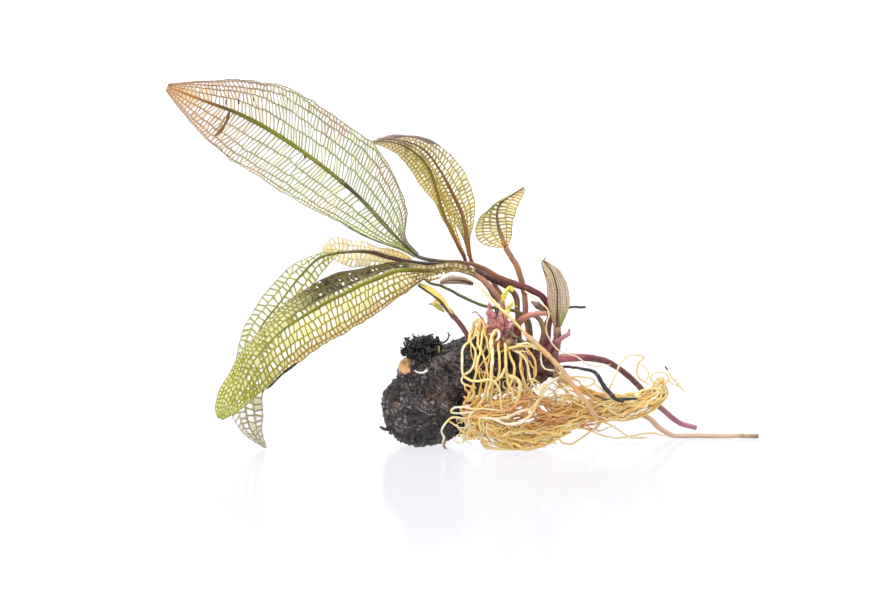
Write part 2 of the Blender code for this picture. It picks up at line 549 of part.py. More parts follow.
def main():
    """Build the whole plant."""
    clear_scene()
    plant = make_collection("madagascar_lace_plant")
    cutters = make_collection("cutters")
    _, clearance = rhizome(plant, cutters)
    for name, leaf in LEAVES.items():
        blade(name, leaf, plant)
    for group in (STALKS, SHEATHS):
        for name, shape in group.items():
            stalk(name, shape, plant, cutters, clearance)
    for name, shape in ROOTS.items():
        root_group(name, shape, plant, cutters, clearance)


main()
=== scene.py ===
"""Looks for a madagascar lace plant: its net leaves, stalks, rhizome and roots, and a white stage.

Places and sizes are in millimetres in the plant's own frame, and become metres in the meshes:
+X is right, +Y is away from the front, +Z is up, and the table is at height 0.
"""

import math

import bmesh
import bpy
import numpy as np
from bpy.props import FloatProperty, FloatVectorProperty, PointerProperty
from bpy.types import Operator, Panel, PropertyGroup
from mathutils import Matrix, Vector, noise
from mathutils.bvhtree import BVHTree


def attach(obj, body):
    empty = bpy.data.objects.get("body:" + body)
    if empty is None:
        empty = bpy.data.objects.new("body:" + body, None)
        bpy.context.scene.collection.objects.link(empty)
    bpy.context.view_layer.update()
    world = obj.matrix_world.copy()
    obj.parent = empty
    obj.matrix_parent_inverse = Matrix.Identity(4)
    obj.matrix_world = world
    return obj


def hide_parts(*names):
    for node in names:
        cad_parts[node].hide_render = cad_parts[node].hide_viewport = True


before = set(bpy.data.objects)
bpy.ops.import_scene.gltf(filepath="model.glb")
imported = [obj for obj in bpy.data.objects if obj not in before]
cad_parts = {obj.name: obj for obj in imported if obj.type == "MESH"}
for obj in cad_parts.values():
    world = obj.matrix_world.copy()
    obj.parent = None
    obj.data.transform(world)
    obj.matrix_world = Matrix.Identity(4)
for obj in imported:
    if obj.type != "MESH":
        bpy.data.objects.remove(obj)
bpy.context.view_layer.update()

bl_info = {
    "name": "Madagascar Lace Plant",
    "version": (1, 0, 0),
    "blender": (4, 5, 0),
    "location": "3D View > Sidebar > Lace Plant",
    "description": "Builds a lace plant with net leaves, a dark rhizome and pale roots",
    "category": "Add Mesh",
}

BODY = "root"
MM = 0.001
RHIZOME_SEED = 77
STALK_SEED = 200
ROOT_SEED = 400

# The nets: samples along a guide and along a vein, corners on each side of a window, how square its
# hole is, and, as shares of a window, the smallest half hole that stays open and that of a closed one.
# FILM_HALF and EDGE_HALF are half the thickness of a closed window's film and of a window's edge.
GUIDE_SAMPLES = 161
LINE_SAMPLES = 400
CELL_SIDE = 3
HOLE_SQUARENESS = 4.0
SMALLEST_HOLE = 0.11
MEMBRANE_HOLE = 0.2
FILM_LIGHTNESS = 0.5
FILM_HALF = 0.045
EDGE_HALF = 0.06
WELD_DISTANCE = 0.002
VEIN_SIDES = 6
VEIN_STEP = 0.9

# Camera, lights and stage. The camera's clip distances and the floor's size are in metres. TABLE_GLOW is
# the table's own light near the camera, up to TABLE_NEAR, and from TABLE_FAR on.
CAMERA_PLACE = (3.5, -850.87, 142.74)
CAMERA_TILT = 84.0
CAMERA_LENS = 100.0
CAMERA_CLIP = (0.01, 20.0)
TOP_LIGHT = dict(place=(-60, 80, 620), size=320)
FRONT_LIGHT = dict(place=(-380, -480, 460), size=180)
LIGHT_AIM_HEIGHT = 40.0
FLOOR_SIZE = 80.0
TABLE_IOR = 1.08
TABLE_ROUGHNESS = 0.13
TABLE_NEAR = -240.0
TABLE_FAR = -60.0
TABLE_GLOW = (0.92, 0.82)

# The net leaves. Each has a midrib and two margins, upper and lower, from base to tip. upper_veins and
# lower_veins are the places of the lengthwise veins from the midrib to a margin, as shares of that half's
# width. pitch is the distance between cross veins beside the midrib and at the margin, lead how far they
# lean to the tip in the upper and the lower half, and slant how uneven their ends are. ripple is the height
# and length of the blade's waves. Tables of places and values give the width of the tissue that lines the
# windows, and the share of windows that are closed, along the leaf and across it.
# Scars are stains and scraps on the blade, and on the folded leaf also painted highlights: places as shares
# along and across, a radius and a shade from 0, green, over tan, brown and black to 1, pale pink, the
# colour of the painted highlights. Gaps are torn holes: a side, a row and where it starts and ends. Strips
# are narrow blades that run on beside the stalk, and wisps stick out at a tip.
# A leaf has the values of PLAIN_LEAF where it gives none of its own.
PLAIN_LEAF = dict(upper_veins=[0.5, 1], lower_veins=[0.5, 1], lead=(0, 0), slant=0.01, vein_radius=0.16,
                  cross_half=0.1, closed_across=[(0, 0)], colour_reach=1, scars=(), gaps=(), strips=(),
                  wisps=())
LEAVES = {}
LEAVES["large_leaf"] = dict(
    node="leaf_large", slot="leaf_green", seed=11,
    midrib=[(-4.5, 3, 66.5), (-13.5, 7, 74.5), (-25, 12, 86.5), (-38.5, 17, 97.5), (-53, 20, 107.5),
        (-67.5, 21, 115.5), (-80.5, 20, 120.5), (-93, 17, 125.5)],
    upper=[(-4, 2.5, 67.5), (-8.5, 2, 73), (-8, 4, 82.5), (-11.5, 8, 94), (-20, 12, 106), (-33.5, 15.5, 115),
        (-49.5, 17.5, 125.5), (-65, 18, 128), (-80, 18.5, 127.5), (-92.5, 17, 126.5)],
    lower=[(-5.5, 3, 66), (-10, 4, 68.5), (-20.5, 6.5, 72), (-32, 9.5, 77.5), (-45.5, 13, 84),
        (-59.5, 16, 92.5), (-72.5, 18, 100), (-85, 18.5, 112.5), (-93.5, 17, 124)],
    upper_veins=[0.33, 0.57, 0.76, 0.91, 1], lower_veins=[0.34, 0.6, 0.8, 0.92, 1], pitch=(1.4, 1.25),
        lead=(0.09, 0.035), slant=0.003, ripple=(0.5, 11), midrib_radius=(0.5, 0.62, 0.8, 0.8, 0.25),
        vein_radius=0.19, cross_half=0.06, tissue_along=[(0, 0.22), (0.08, 0.3), (0.8, 0.3), (1, 0.32)],
        tissue_across=[(-1, 0.08), (-0.85, 0), (0.85, 0), (1, 0.08)], closed_along=[(0, 0.1), (0.08, 0),
        (0.72, 0), (0.82, 0.1), (0.93, 0.5), (0.97, 1)],
    scars=[([(0.785, 0), (0.767, -0.33), (0.759, -0.57), (0.759, -0.81)], 0.55, 0.55),
        ([(0.785, -0.2), (0.772, -0.5), (0.775, -0.72)], 0.4, 0.3),
        ([(0.799, 0.1), (0.797, 0.28)], 0.25, 0.78), ([(0.754, 0.22), (0.752, 0.38)], 0.32, 0.85),
        ([(0.7, 0.42), (0.698, 0.52)], 0.24, 0.65), ([(0.5, 0.72), (0.5, 0.9)], 0.35, 0.3),
        ([(0.33, 0), (0.36, 0)], 0.8, 0.8), ([(0.5, -0.04), (0.49, -0.09)], 0.45, 0.6),
        ([(0.02, -0.9), (0.05, -0.6), (0.09, -0.45)], 0.5, 0.1), ([(0.04, 0.3), (0.1, 0.5)], 0.3, 0.4),
        ([(0.03, 0.14), (0.1, 0.075), (0.2, 0.05), (0.3, 0.04)], 0.22, 0.72), ([(0.03, -0.14), (0.1, -0.075),
        (0.2, -0.05), (0.3, -0.04)], 0.2, 0.72), ([(0.1, -0.98), (0.16, -1), (0.24, -0.98)], 0.22, 0.7)],
    gaps=[(-1, 0, 0.235, 0.262), (-1, 0, 0.3, 0.322)])
LEAVES["front_leaf"] = dict(
    node="leaf_front", slot="leaf_green", seed=23,
    midrib=[(0, -3.5, 62), (-10, -8, 62.5), (-18.5, -10, 60), (-27.5, -12, 56), (-38.5, -14, 50.5),
        (-50, -16, 43), (-58.5, -18, 35), (-63.5, -19.5, 26.5), (-68, -21, 18), (-72, -22.2, 13)],
    upper=[(0, -2.5, 63.5), (-10, 1, 64.5), (-23.5, 0, 62.5), (-37.5, -2.5, 59), (-49, -5.5, 52),
        (-58, -8.5, 43), (-65, -12, 35.5), (-69.5, -15, 27.5), (-73, -18.5, 21), (-73.5, -21, 15.5),
        (-72.5, -22.3, 13)],
    lower=[(0, -4, 60.5), (-8, -9.5, 55), (-17, -13, 49), (-26, -15.5, 43), (-40, -18, 35), (-50, -20, 28),
        (-57, -21.5, 22), (-65.5, -22.6, 15.5), (-71, -22.6, 12.5)],
    upper_veins=[0.24, 0.44, 0.63, 0.81, 1], lower_veins=[0.28, 0.52, 0.74, 0.89, 1], pitch=(1.9, 1.5),
        lead=(0, 0.04), slant=0.003, ripple=(0.7, 9), midrib_radius=(0.8, 0.85, 0.6, 0.3, 0.25),
        vein_radius=0.19, cross_half=0.11, tissue_along=[(0, 0.26), (0.5, 0.28), (0.65, 0.28), (1, 0.26)],
        tissue_across=[(-1, 0.1), (-0.6, 0), (0, 0), (0.06, 0.06), (1, 0.1)], closed_along=[(0, 0.4),
        (0.1, 0.3), (0.5, 0.25), (0.75, 0.3), (0.96, 0.5), (1, 1)], closed_across=[(-0.02, 0), (0.02, 0.35),
        (1, 0.45)],
    scars=[([(0.585, -0.97), (0.62, -0.98), (0.67, -0.97), (0.72, -0.99), (0.762, -1)], 0.42, 0.85),
        ([(0.778, -0.98), (0.785, -0.96)], 0.4, 0.85),
        ([(0.05, 0.98), (0.2, 0.99), (0.36, 0.97)], 0.45, 0.75)],
    strips=[dict(midrib=[(-1, -3.7, 62), (3, -4.4, 62.8), (7, -4.7, 63.2), (11, -4.9, 62.7),
        (15.5, -5.2, 61.3)], upper=[(-1, -3, 63.8), (3, -3.8, 64.3), (7, -4.2, 65), (11, -4.5, 64.6),
        (15.8, -5, 62.4)], lower=[(-1, -4.5, 58.2), (3, -5, 59.4), (7, -5.2, 61.8), (11, -5.3, 61.6),
        (15.2, -5.3, 60.4)], upper_veins=[1], lower_veins=[0.5, 1], pitch=(1.5, 1.3), seed=29,
        midrib_radius=(0.3, 0.25, 0.2), colour_reach=0.06, scars=(), ripple=(0.3, 3))])
LEAVES["arching_leaf"] = dict(
    node="leaf_arching", slot="leaf_green", seed=37,
    midrib=[(-32, 0, 68), (-39, 0.5, 66), (-46, 1, 59), (-53.5, 1, 49), (-59, 0.5, 42), (-62.5, -1, 32),
        (-64.5, -4, 22), (-64.5, -6, 14.5), (-62.5, -8, 7), (-57.5, -8.5, 0.5)],
    upper=[(-32, 1, 69), (-40.5, 4, 67), (-50.5, 5.5, 62), (-58.5, 5.5, 52.5), (-64, 5, 44.5), (-68, 3, 33),
        (-70, 0, 22.5), (-70, -4, 12.5), (-65.5, -7, 5.5), (-58, -8.5, 0.5)],
    lower=[(-32.5, -0.5, 67), (-37, -1, 62), (-42, -1.5, 55), (-46.5, -2, 47), (-52, -3, 39),
        (-55.5, -4.5, 30), (-58, -6.5, 20.5), (-58, -8, 12), (-58.5, -8.5, 6.5), (-57, -8.5, 0.5)],
    pitch=(2.2, 2), slant=0.006, ripple=(0.5, 9), midrib_radius=(0.6, 0.42, 0.32, 0.24, 0.16),
        cross_half=0.09, tissue_along=[(0, 0.2), (0.1, 0.26), (0.8, 0.3), (1, 0.34)],
        tissue_across=[(-1, 0.06), (0, 0), (1, 0.04)], closed_along=[(0, 0.1), (0.1, 0), (0.75, 0.03),
        (0.85, 0.15), (1, 0.5)])
LEAVES["pale_leaf"] = dict(
    node="leaf_pale", slot="leaf_pale", seed=41,
    midrib=[(-6.5, 7, 64.5), (-14, 8.5, 65), (-23, 9.5, 67), (-30.5, 9.5, 68), (-38, 8.5, 68.5)],
    upper=[(-6.5, 7.5, 65.5), (-11.5, 10, 68), (-18.5, 11, 69), (-22.5, 12.5, 71), (-28.5, 13, 71.5),
        (-34.5, 12.5, 72.5), (-38, 9.5, 69.5)],
    lower=[(-7, 7, 63.5), (-15, 7, 63), (-21, 7.5, 62.5), (-27.5, 7.5, 62), (-32.5, 7.5, 64),
        (-37.5, 8, 67.5)],
    pitch=(1.5, 1.5), ripple=(0.8, 6), midrib_radius=(0.4, 0.3, 0.22, 0.16, 0.12),
        vein_radius=0.1, cross_half=0.06, tissue_along=[(0, 0.3), (0.5, 0.16), (1, 0.2)],
        tissue_across=[(-1, 0.1), (0, 0.05), (1, 0.02)], closed_along=[(0, 0.95), (0.35, 0.8), (0.6, 0.5),
        (0.9, 0.5), (1, 0.8)])
LEAVES["right_gold_leaf"] = dict(
    node="leaf_gold_right", slot="leaf_gold", seed=53,
    midrib=[(14, 8.5, 66), (13, 9.5, 72), (11.5, 10.5, 80), (7.5, 10.5, 89), (3, 9.5, 97), (-2, 6.5, 103.5),
        (-9.5, 2.5, 107), (-18, -1.5, 107.5)],
    upper=[(14.6, 8.7, 66.3), (14.1, 9.6, 72), (15.4, 10.4, 77.5), (16, 11.5, 84.5), (13.5, 12, 93),
        (9, 12, 100), (3.5, 10, 105), (-4, 6.5, 108), (-12, 2.5, 109), (-18.5, -1.5, 108)],
    lower=[(13.2, 8.3, 66.3), (11.8, 9, 72), (9, 8.4, 77.5), (5.5, 8, 83.5), (0.5, 7, 91), (-5, 4.5, 98.5),
        (-11, 1.5, 103.5), (-18.5, -2, 107)],
    upper_veins=[0.34, 0.67, 1], lower_veins=[0.3, 0.55, 0.78, 1], pitch=(1.5, 1.4), lead=(0.03, 0.03),
        slant=0.004, ripple=(0.5, 7), midrib_radius=(0.8, 0.75, 0.5, 0.35, 0.2), vein_radius=0.14,
        cross_half=0.09, tissue_along=[(0, 0.3), (0.15, 0.26), (0.8, 0.26), (1, 0.4)],
        tissue_across=[(-1, 0.1), (0, 0.05), (0.3, 0), (1, 0)], closed_along=[(0, 0.5), (0.12, 0.02),
        (0.65, 0.03), (0.85, 0.35), (1, 1)],
    scars=[([(0.6, 0.98), (0.75, 0.9), (0.88, 0.8), (0.97, 0.5)], 0.7, 0.45),
        ([(0.36, 0.4), (0.37, 0.55)], 0.2, 0.8)])
LEAVES["left_gold_leaf"] = dict(
    node="leaf_gold_left", slot="leaf_gold", seed=59,
    midrib=[(12, 6.5, 66), (9.3, 5.6, 71), (6.9, 5.2, 76), (4.4, 5, 82.5), (2.3, 3.8, 89.5), (0, 2, 96.3),
        (-3.6, 0, 101.5), (-9, -2.2, 105.3), (-15, -4.5, 107), (-19.5, -6.5, 107)],
    upper=[(12.6, 6.7, 66.3), (10.3, 6.3, 72), (8.8, 6, 77), (8.3, 6, 83.5), (4.5, 5, 91.5), (0, 3, 99),
        (-6.5, 0, 105), (-13.5, -3.5, 108), (-19.5, -6, 107.5)],
    lower=[(11.4, 6.2, 65.9), (8.6, 5.2, 71.6), (6, 3.6, 76.8), (2, 0, 84.5), (-4, -2, 92.5),
        (-9.5, -4.5, 100.5), (-14.5, -6, 104.5), (-19.5, -7, 106.5)],
    lower_veins=[0.28, 0.52, 0.76, 1], pitch=(1.4, 1.3), lead=(0, 0.02), slant=0.004, ripple=(0.5, 7),
        midrib_radius=(0.75, 0.7, 0.55, 0.4, 0.2), tissue_along=[(0, 0.3),
        (0.15, 0.24), (0.8, 0.24), (1, 0.4)], tissue_across=[(-1, 0.25), (-0.8, 0.06), (0, 0), (1, 0.04)],
        closed_along=[(0, 0.5), (0.12, 0.1), (0.55, 0.12), (0.75, 0.5), (0.9, 1)], closed_across=[(-1, 0.9),
        (-0.85, 0.5), (-0.7, 0)],
    scars=[([(0.7, 0.9), (0.82, 0.85), (0.93, 0.8), (0.98, 0.4)], 0.6, 0.45),
        ([(0.55, 0.1), (0.6, 0.12)], 0.4, 0.75), ([(0.62, 0.05), (0.68, 0.1)], 0.35, 0.75)])
LEAVES["small_leaf"] = dict(
    node="leaf_small", slot="leaf_mauve", seed=61,
    midrib=[(26.5, 4, 69.5), (25.2, 6, 73), (24.2, 8, 76), (23.7, 9, 79), (23.8, 9.3, 82), (25.2, 9.5, 85),
        (28.6, 9.3, 87.4), (33, 8, 90)],
    upper=[(27.3, 4, 69.5), (28.5, 4, 74), (29, 4, 78.5), (31, 4.5, 84), (33.4, 7.5, 89.5)],
    lower=[(26, 3.5, 69.3), (21, 3, 69.7), (16.5, 4, 72), (16, 6, 76), (17.5, 7, 80), (22.5, 8.5, 84),
        (28, 9, 87), (33, 8, 90.6)],
    lower_veins=[0.4, 0.72, 1], pitch=(1.35, 1.2), lead=(0.05, 0.08), slant=0.006, ripple=(0.4, 5),
        midrib_radius=(0.9, 0.65, 0.4, 0.3, 0.1), vein_radius=0.13, cross_half=0.09, tissue_along=[(0, 0.28),
        (0.15, 0.26), (0.7, 0.28), (1, 0.4)], tissue_across=[(-1, 0.22), (-0.8, 0.06), (0, 0.04), (1, 0.1)],
        closed_along=[(0, 0.5), (0.15, 0.04), (0.7, 0.06), (0.88, 0.6), (0.95, 1)],
    scars=[([(0.5, -0.95), (0.62, -0.95), (0.75, -0.95)], 0.5, 0.2)])
LEAVES["folded_leaf"] = dict(
    node="leaf_folded", slot="leaf_mauve", seed=67,
    midrib=[(44.5, -3, 42), (44.3, -3.5, 50.5), (44, -3.5, 56), (42.5, -3, 61.5), (39.6, -2, 65.2)],
    upper=[(45.8, -2.5, 42.2), (49, 0, 50.5), (48.5, 1, 55), (45.5, 0, 61.5), (40.2, -2, 65.3)],
    lower=[(43.3, -3.5, 42.2), (41, -7, 51), (40.5, -8, 57.5), (39.5, -6, 62), (38.7, -3, 64.8)],
    upper_veins=[0.25, 0.5, 0.75, 1], lower_veins=[0.25, 0.5, 0.75, 1], pitch=(1, 1), lead=(0.05, 0.05),
        ripple=(0.3, 5), midrib_radius=(0.8, 0.4, 0.35, 0.35, 0.25),
        tissue_along=[(0, 0.5), (0.5, 0.4), (1, 0.6)], tissue_across=[(-1, 0.2), (0, 0.2),
        (1, 0.2)], closed_along=[(0, 1), (0.3, 0.97), (0.7, 0.97), (1, 1)],
    scars=[([(0.55, -0.55), (0.7, -0.8), (0.85, -0.95), (0.97, -1)], 0.3, 0.75),
        ([(0.1, 0.3), (0.4, 0.3), (0.8, 0.2)], 0.2, 0.5),
        # The scars of shade 0.95 and 1 are painted highlights.
        ([(0.25, 0.5), (0.45, 0.56), (0.62, 0.5)], 0.42, 1), ([(0.35, 0.8), (0.5, 0.82)], 0.3, 1),
        ([(0.68, 0.4), (0.8, 0.4)], 0.3, 0.95), ([(0.02, 0.6), (0.1, 0.7), (0.2, 0.8)], 0.8, 0.16),
        ([(0.04, 0.15), (0.14, 0.25)], 0.6, 0.2)],
    wisps=[([(39.2, -2.2, 64.9), (38.4, -2.4, 66), (37.8, -2.6, 67)], 0.3, 0.97),
        ([(39.4, -2, 65), (40, -2, 66), (40.6, -2, 66.6)], 0.28, 0.75)])
LEAVES["rolled_leaf"] = dict(
    node="leaf_rolled", slot="stalk_maroon", seed=71,
    midrib=[(15, -6.5, 57.7), (10.5, -7.5, 59), (6.5, -7.5, 59), (3.5, -7, 58)],
    upper=[(15, -6, 58.4), (10.5, -6.5, 60.3), (6.5, -6.5, 60.3), (3.5, -6.6, 58.7)],
    lower=[(15, -7, 57.2), (10.5, -7, 57.7), (6.5, -7, 57.7), (3.5, -7, 57.4)],
    pitch=(0.8, 0.8), ripple=(0.15, 3), midrib_radius=(0.4, 0.35, 0.3, 0.25, 0.2),
        vein_radius=0.14, tissue_along=[(0, 0.4), (1, 0.4)], tissue_across=[(-1, 0.1),
        (1, 0.1)], closed_along=[(0, 0.9), (1, 0.9)])

# Each leaf's colours from base to tip. A stop is a place and its red, green and blue as seen, 0 to 255.
LEAF_COLOURS = {}
LEAF_COLOURS["large_leaf"] = dict(
    cross=[(0, 140, 146, 112), (0.5, 154, 156, 134), (0.72, 170, 152, 122), (0.86, 184, 146, 112)],
    long=[(0, 104, 112, 62), (0.3, 132, 146, 58), (0.68, 116, 114, 58), (0.8, 150, 110, 74),
        (0.9, 184, 130, 92)],
    tissue=[(0, 238, 242, 190), (0.5, 250, 250, 222), (0.74, 252, 240, 214), (0.9, 250, 222, 184),
        (0.98, 242, 184, 110)],
    midrib=[(0, 84, 80, 62), (0.1, 110, 110, 66), (0.2, 150, 156, 66), (0.27, 90, 88, 46),
        (0.33, 62, 60, 34), (0.38, 130, 128, 40), (0.5, 152, 148, 40), (0.7, 136, 132, 34),
        (0.78, 104, 100, 28), (0.84, 150, 108, 60), (0.95, 210, 146, 78)])
LEAF_COLOURS["front_leaf"] = dict(
    cross=[(0, 150, 110, 84), (0.35, 130, 118, 60), (0.6, 136, 130, 44), (1, 158, 156, 44)],
    long=[(0, 146, 124, 54), (0.4, 148, 148, 44), (0.8, 154, 154, 46), (1, 182, 188, 52)],
    tissue=[(0, 200, 172, 92), (0.35, 176, 166, 66), (0.7, 178, 172, 42), (1, 188, 186, 30)],
    midrib=[(0, 120, 112, 40), (0.12, 150, 146, 30), (0.45, 140, 138, 26), (0.6, 150, 148, 40),
        (1, 182, 184, 50)])
LEAF_COLOURS["arching_leaf"] = dict(
    cross=[(0, 132, 118, 92), (0.4, 140, 120, 110), (0.75, 160, 148, 130), (1, 176, 164, 140)],
    long=[(0, 150, 148, 60), (0.3, 146, 146, 90), (0.8, 176, 166, 140), (1, 190, 176, 150)],
    tissue=[(0, 226, 226, 140), (0.5, 236, 236, 170), (0.85, 240, 232, 208), (1, 232, 222, 196)],
    midrib=[(0, 130, 118, 50), (0.3, 158, 160, 70), (0.75, 164, 156, 100), (1, 176, 158, 116)])
LEAF_COLOURS["pale_leaf"] = dict(
    cross=[(0, 230, 196, 90), (0.3, 206, 190, 118), (1, 204, 190, 130)],
    long=[(0, 234, 190, 76), (0.3, 206, 180, 100), (1, 220, 180, 106)],
    tissue=[(0, 252, 216, 104), (0.25, 254, 230, 150), (0.5, 255, 240, 206), (0.85, 255, 240, 200),
        (1, 252, 216, 150)],
    midrib=[(0, 226, 172, 70), (1, 220, 186, 116)])
LEAF_COLOURS["right_gold_leaf"] = dict(
    cross=[(0, 178, 154, 76), (0.5, 162, 148, 90), (0.85, 150, 126, 90), (1, 146, 128, 108)],
    long=[(0, 190, 150, 70), (0.5, 178, 162, 92), (0.8, 152, 124, 90), (1, 146, 126, 106)],
    tissue=[(0, 246, 230, 140), (0.5, 250, 240, 184), (0.8, 222, 196, 136), (1, 196, 160, 110)],
    midrib=[(0, 176, 120, 60), (0.5, 160, 116, 48), (1, 140, 104, 70)])
LEAF_COLOURS["left_gold_leaf"] = dict(
    cross=[(0, 176, 148, 56), (0.5, 162, 140, 56), (0.8, 140, 114, 64), (1, 150, 124, 96)],
    long=[(0, 200, 160, 60), (0.5, 184, 154, 54), (0.8, 146, 118, 66), (1, 160, 130, 100)],
    tissue=[(0, 244, 220, 104), (0.5, 248, 230, 134), (0.75, 220, 188, 100), (1, 206, 166, 112)],
    midrib=[(0, 150, 90, 56), (0.3, 176, 138, 50), (0.6, 130, 112, 40), (0.8, 114, 88, 50),
        (1, 150, 120, 90)])
LEAF_COLOURS["small_leaf"] = dict(
    cross=[(0, 160, 132, 92), (1, 156, 140, 80)],
    long=[(0, 168, 138, 88), (1, 164, 150, 76)],
    tissue=[(0, 238, 226, 150), (0.6, 228, 214, 130), (0.8, 214, 168, 112), (1, 206, 150, 110)],
    midrib=[(0, 190, 130, 76), (0.35, 132, 100, 84), (0.7, 150, 120, 84), (1, 176, 128, 90)])
LEAF_COLOURS["folded_leaf"] = dict(
    cross=[(0, 208, 172, 130), (0.5, 214, 184, 148), (1, 196, 168, 120)],
    long=[(0, 190, 144, 118), (0.5, 204, 168, 138), (1, 180, 152, 112)],
    tissue=[(0, 196, 154, 112), (0.15, 204, 186, 104), (0.4, 222, 188, 154), (0.75, 218, 184, 152),
        (1, 190, 166, 112)],
    midrib=[(0, 150, 96, 76), (0.25, 96, 64, 48), (1, 96, 70, 52)])
LEAF_COLOURS["rolled_leaf"] = dict(
    cross=[(0, 132, 92, 72), (1, 150, 110, 84)],
    long=[(0, 120, 80, 66), (1, 140, 96, 76)],
    tissue=[(0, 186, 136, 112), (0.5, 150, 100, 76), (1, 196, 150, 118)],
    midrib=[(0, 92, 60, 50), (1, 110, 72, 58)])


def from_screen(colour):
    """A colour as seen, 0 to 255, as linear red, green, blue and alpha."""
    parts = [part / 255 for part in colour]
    return tuple(p / 12.92 if p <= 0.04045 else ((p + 0.055) / 1.055) ** 2.4 for p in parts) + (1.0,)


def as_seen(colour):
    """A colour setting as the 0 to 255 values that the finishes take."""
    return tuple(255 * part for part in colour)


def lengths_along(points):
    """How far along the line through the points each of them is."""
    return np.concatenate(([0.0], np.cumsum(np.linalg.norm(np.diff(points, axis=0), axis=1))))


def smooth_path(points, count):
    """Evenly spaced places on a smooth curve through the given points."""
    knots = np.array(points, dtype=float)
    steps = np.sqrt(np.linalg.norm(np.diff(knots, axis=0), axis=1))
    at = np.concatenate(([0.0], np.cumsum(steps)))
    slopes = np.gradient(knots, at, axis=0)
    fine = np.linspace(0.0, at[-1], 40 * len(knots))
    left = np.clip(np.searchsorted(at, fine, side="right") - 1, 0, len(at) - 2)
    span = at[left + 1] - at[left]
    t = ((fine - at[left]) / span)[:, None]
    span = span[:, None]
    curve = ((2 * t**3 - 3 * t**2 + 1) * knots[left] + (t**3 - 2 * t**2 + t) * span * slopes[left]
             + (3 * t**2 - 2 * t**3) * knots[left + 1] + (t**3 - t**2) * span * slopes[left + 1])
    lengths = lengths_along(curve)
    wanted = np.linspace(0.0, lengths[-1], count)
    return np.stack([np.interp(wanted, lengths, curve[:, axis]) for axis in range(3)], axis=1)


def path_length(points):
    """Length of the line through the points."""
    return float(np.linalg.norm(np.diff(np.asarray(points, dtype=float), axis=0), axis=1).sum())


def unit(vectors):
    """The vectors, each with length one."""
    return vectors / np.maximum(np.linalg.norm(vectors, axis=-1, keepdims=True), 1e-9)


def wave(at, seed, waves=5, longest=1.0):
    """A smooth irregular value between about -1 and 1 along a line, from a few sines."""
    chance = np.random.default_rng(seed)
    total = np.zeros_like(np.asarray(at, dtype=float))
    for number in range(waves):
        turns = (number + 1) ** 1.3 / longest
        total = total + np.sin(2 * math.pi * (turns * at + chance.random())) / (number + 1) ** 0.7
    return total / 2


def table(rows, at):
    """Read a small table of (place, value) at the given places."""
    places, values = zip(*rows)
    return np.interp(at, places, values)


def evenly(values, at):
    """Read evenly spaced values, which run from place 0 to place 1, at the given places."""
    return np.interp(at, np.linspace(0, 1, len(values)), values)


def fade(at, steepness):
    """0 at both ends of a line that runs from 0 to 1, and 1 between them."""
    return np.clip(np.minimum(at, 1 - at) * steepness, 0, 1)


def angles(sides):
    """Even turns round a circle."""
    return np.linspace(0, 2 * math.pi, sides, endpoint=False)


def add_object(name, data):
    """A new object in the scene."""
    made = bpy.data.objects.new(name, data)
    bpy.context.scene.collection.objects.link(made)
    return made


class Shape:
    """Corners and faces gathered for one mesh, with the values that its finish reads."""

    def __init__(self):
        self.places = []
        self.faces = []
        self.values = {}
        self.count = 0

    def add(self, places, faces, **values):
        """Add corners, faces that count from the first of them, and values. One that isn't given is 0."""
        places = np.asarray(places, dtype=float).reshape(-1, 3)
        self.places.append(places)
        self.faces += [[corner + self.count for corner in face] for face in faces]
        for name, amount in values.items():
            filled = np.broadcast_to(np.asarray(amount, dtype=float), (len(places),))
            self.values.setdefault(name, []).append((self.count, filled))
        self.count += len(places)

    def build(self, name, finish):
        """The gathered shape as an object in the scene."""
        places = np.concatenate(self.places)
        places[:, 2] = np.maximum(places[:, 2], 0.0)
        mesh = bpy.data.meshes.new(name)
        mesh.from_pydata((places * MM).tolist(), [], self.faces)
        for key, parts in self.values.items():
            filled = np.zeros(self.count)
            for start, amounts in parts:
                filled[start:start + len(amounts)] = amounts
            attribute = mesh.attributes.new(key, "FLOAT", "POINT")
            attribute.data.foreach_set("value", filled.astype(np.float32))
        tidy(mesh)
        mesh.shade_smooth()
        mesh.materials.append(finish)
        return add_object(name, mesh)


def tidy(mesh):
    """Join corners that lie on each other, and turn every face outward."""
    work = bmesh.new()
    work.from_mesh(mesh)
    bmesh.ops.remove_doubles(work, verts=work.verts, dist=WELD_DISTANCE * MM)
    bmesh.ops.dissolve_degenerate(work, edges=work.edges, dist=1e-7)
    bmesh.ops.recalc_face_normals(work, faces=work.faces)
    work.to_mesh(mesh)
    work.free()


def dress(piece, slot, *nodes):
    """Let a piece stand for solids of the plant: hang it on the plant's body and hide those solids. The slot
    is not used.
    """
    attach(piece, BODY)
    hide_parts(*nodes)
    return piece


def frames(route):
    """Two directions square to the route at each of its places, turning as little as they can."""
    along = unit(np.gradient(route, axis=0))
    start = np.cross(along[0], (0.0, 0.0, 1.0))
    if np.linalg.norm(start) < 0.1:
        start = np.cross(along[0], (1.0, 0.0, 0.0))
    sides = [unit(start)]
    for direction in along[1:]:
        side = sides[-1] - direction * np.dot(sides[-1], direction)
        sides.append(unit(side))
    sides = np.array(sides)
    return sides, np.cross(along, sides)


def rings(route, radii, facing=None, squash=1.0):
    """Rings of places round a route. radii has a row for each place of it, and facing its flat direction."""
    if facing is None:
        across, depth = frames(route)
    else:
        depth = unit(facing)
        across = unit(np.cross(unit(np.gradient(route, axis=0)), depth))
    turn = angles(radii.shape[1])[None, :, None]
    ring = across[:, None, :] * np.cos(turn) + depth[:, None, :] * np.sin(turn) * squash
    return route[:, None, :] + ring * radii[:, :, None]


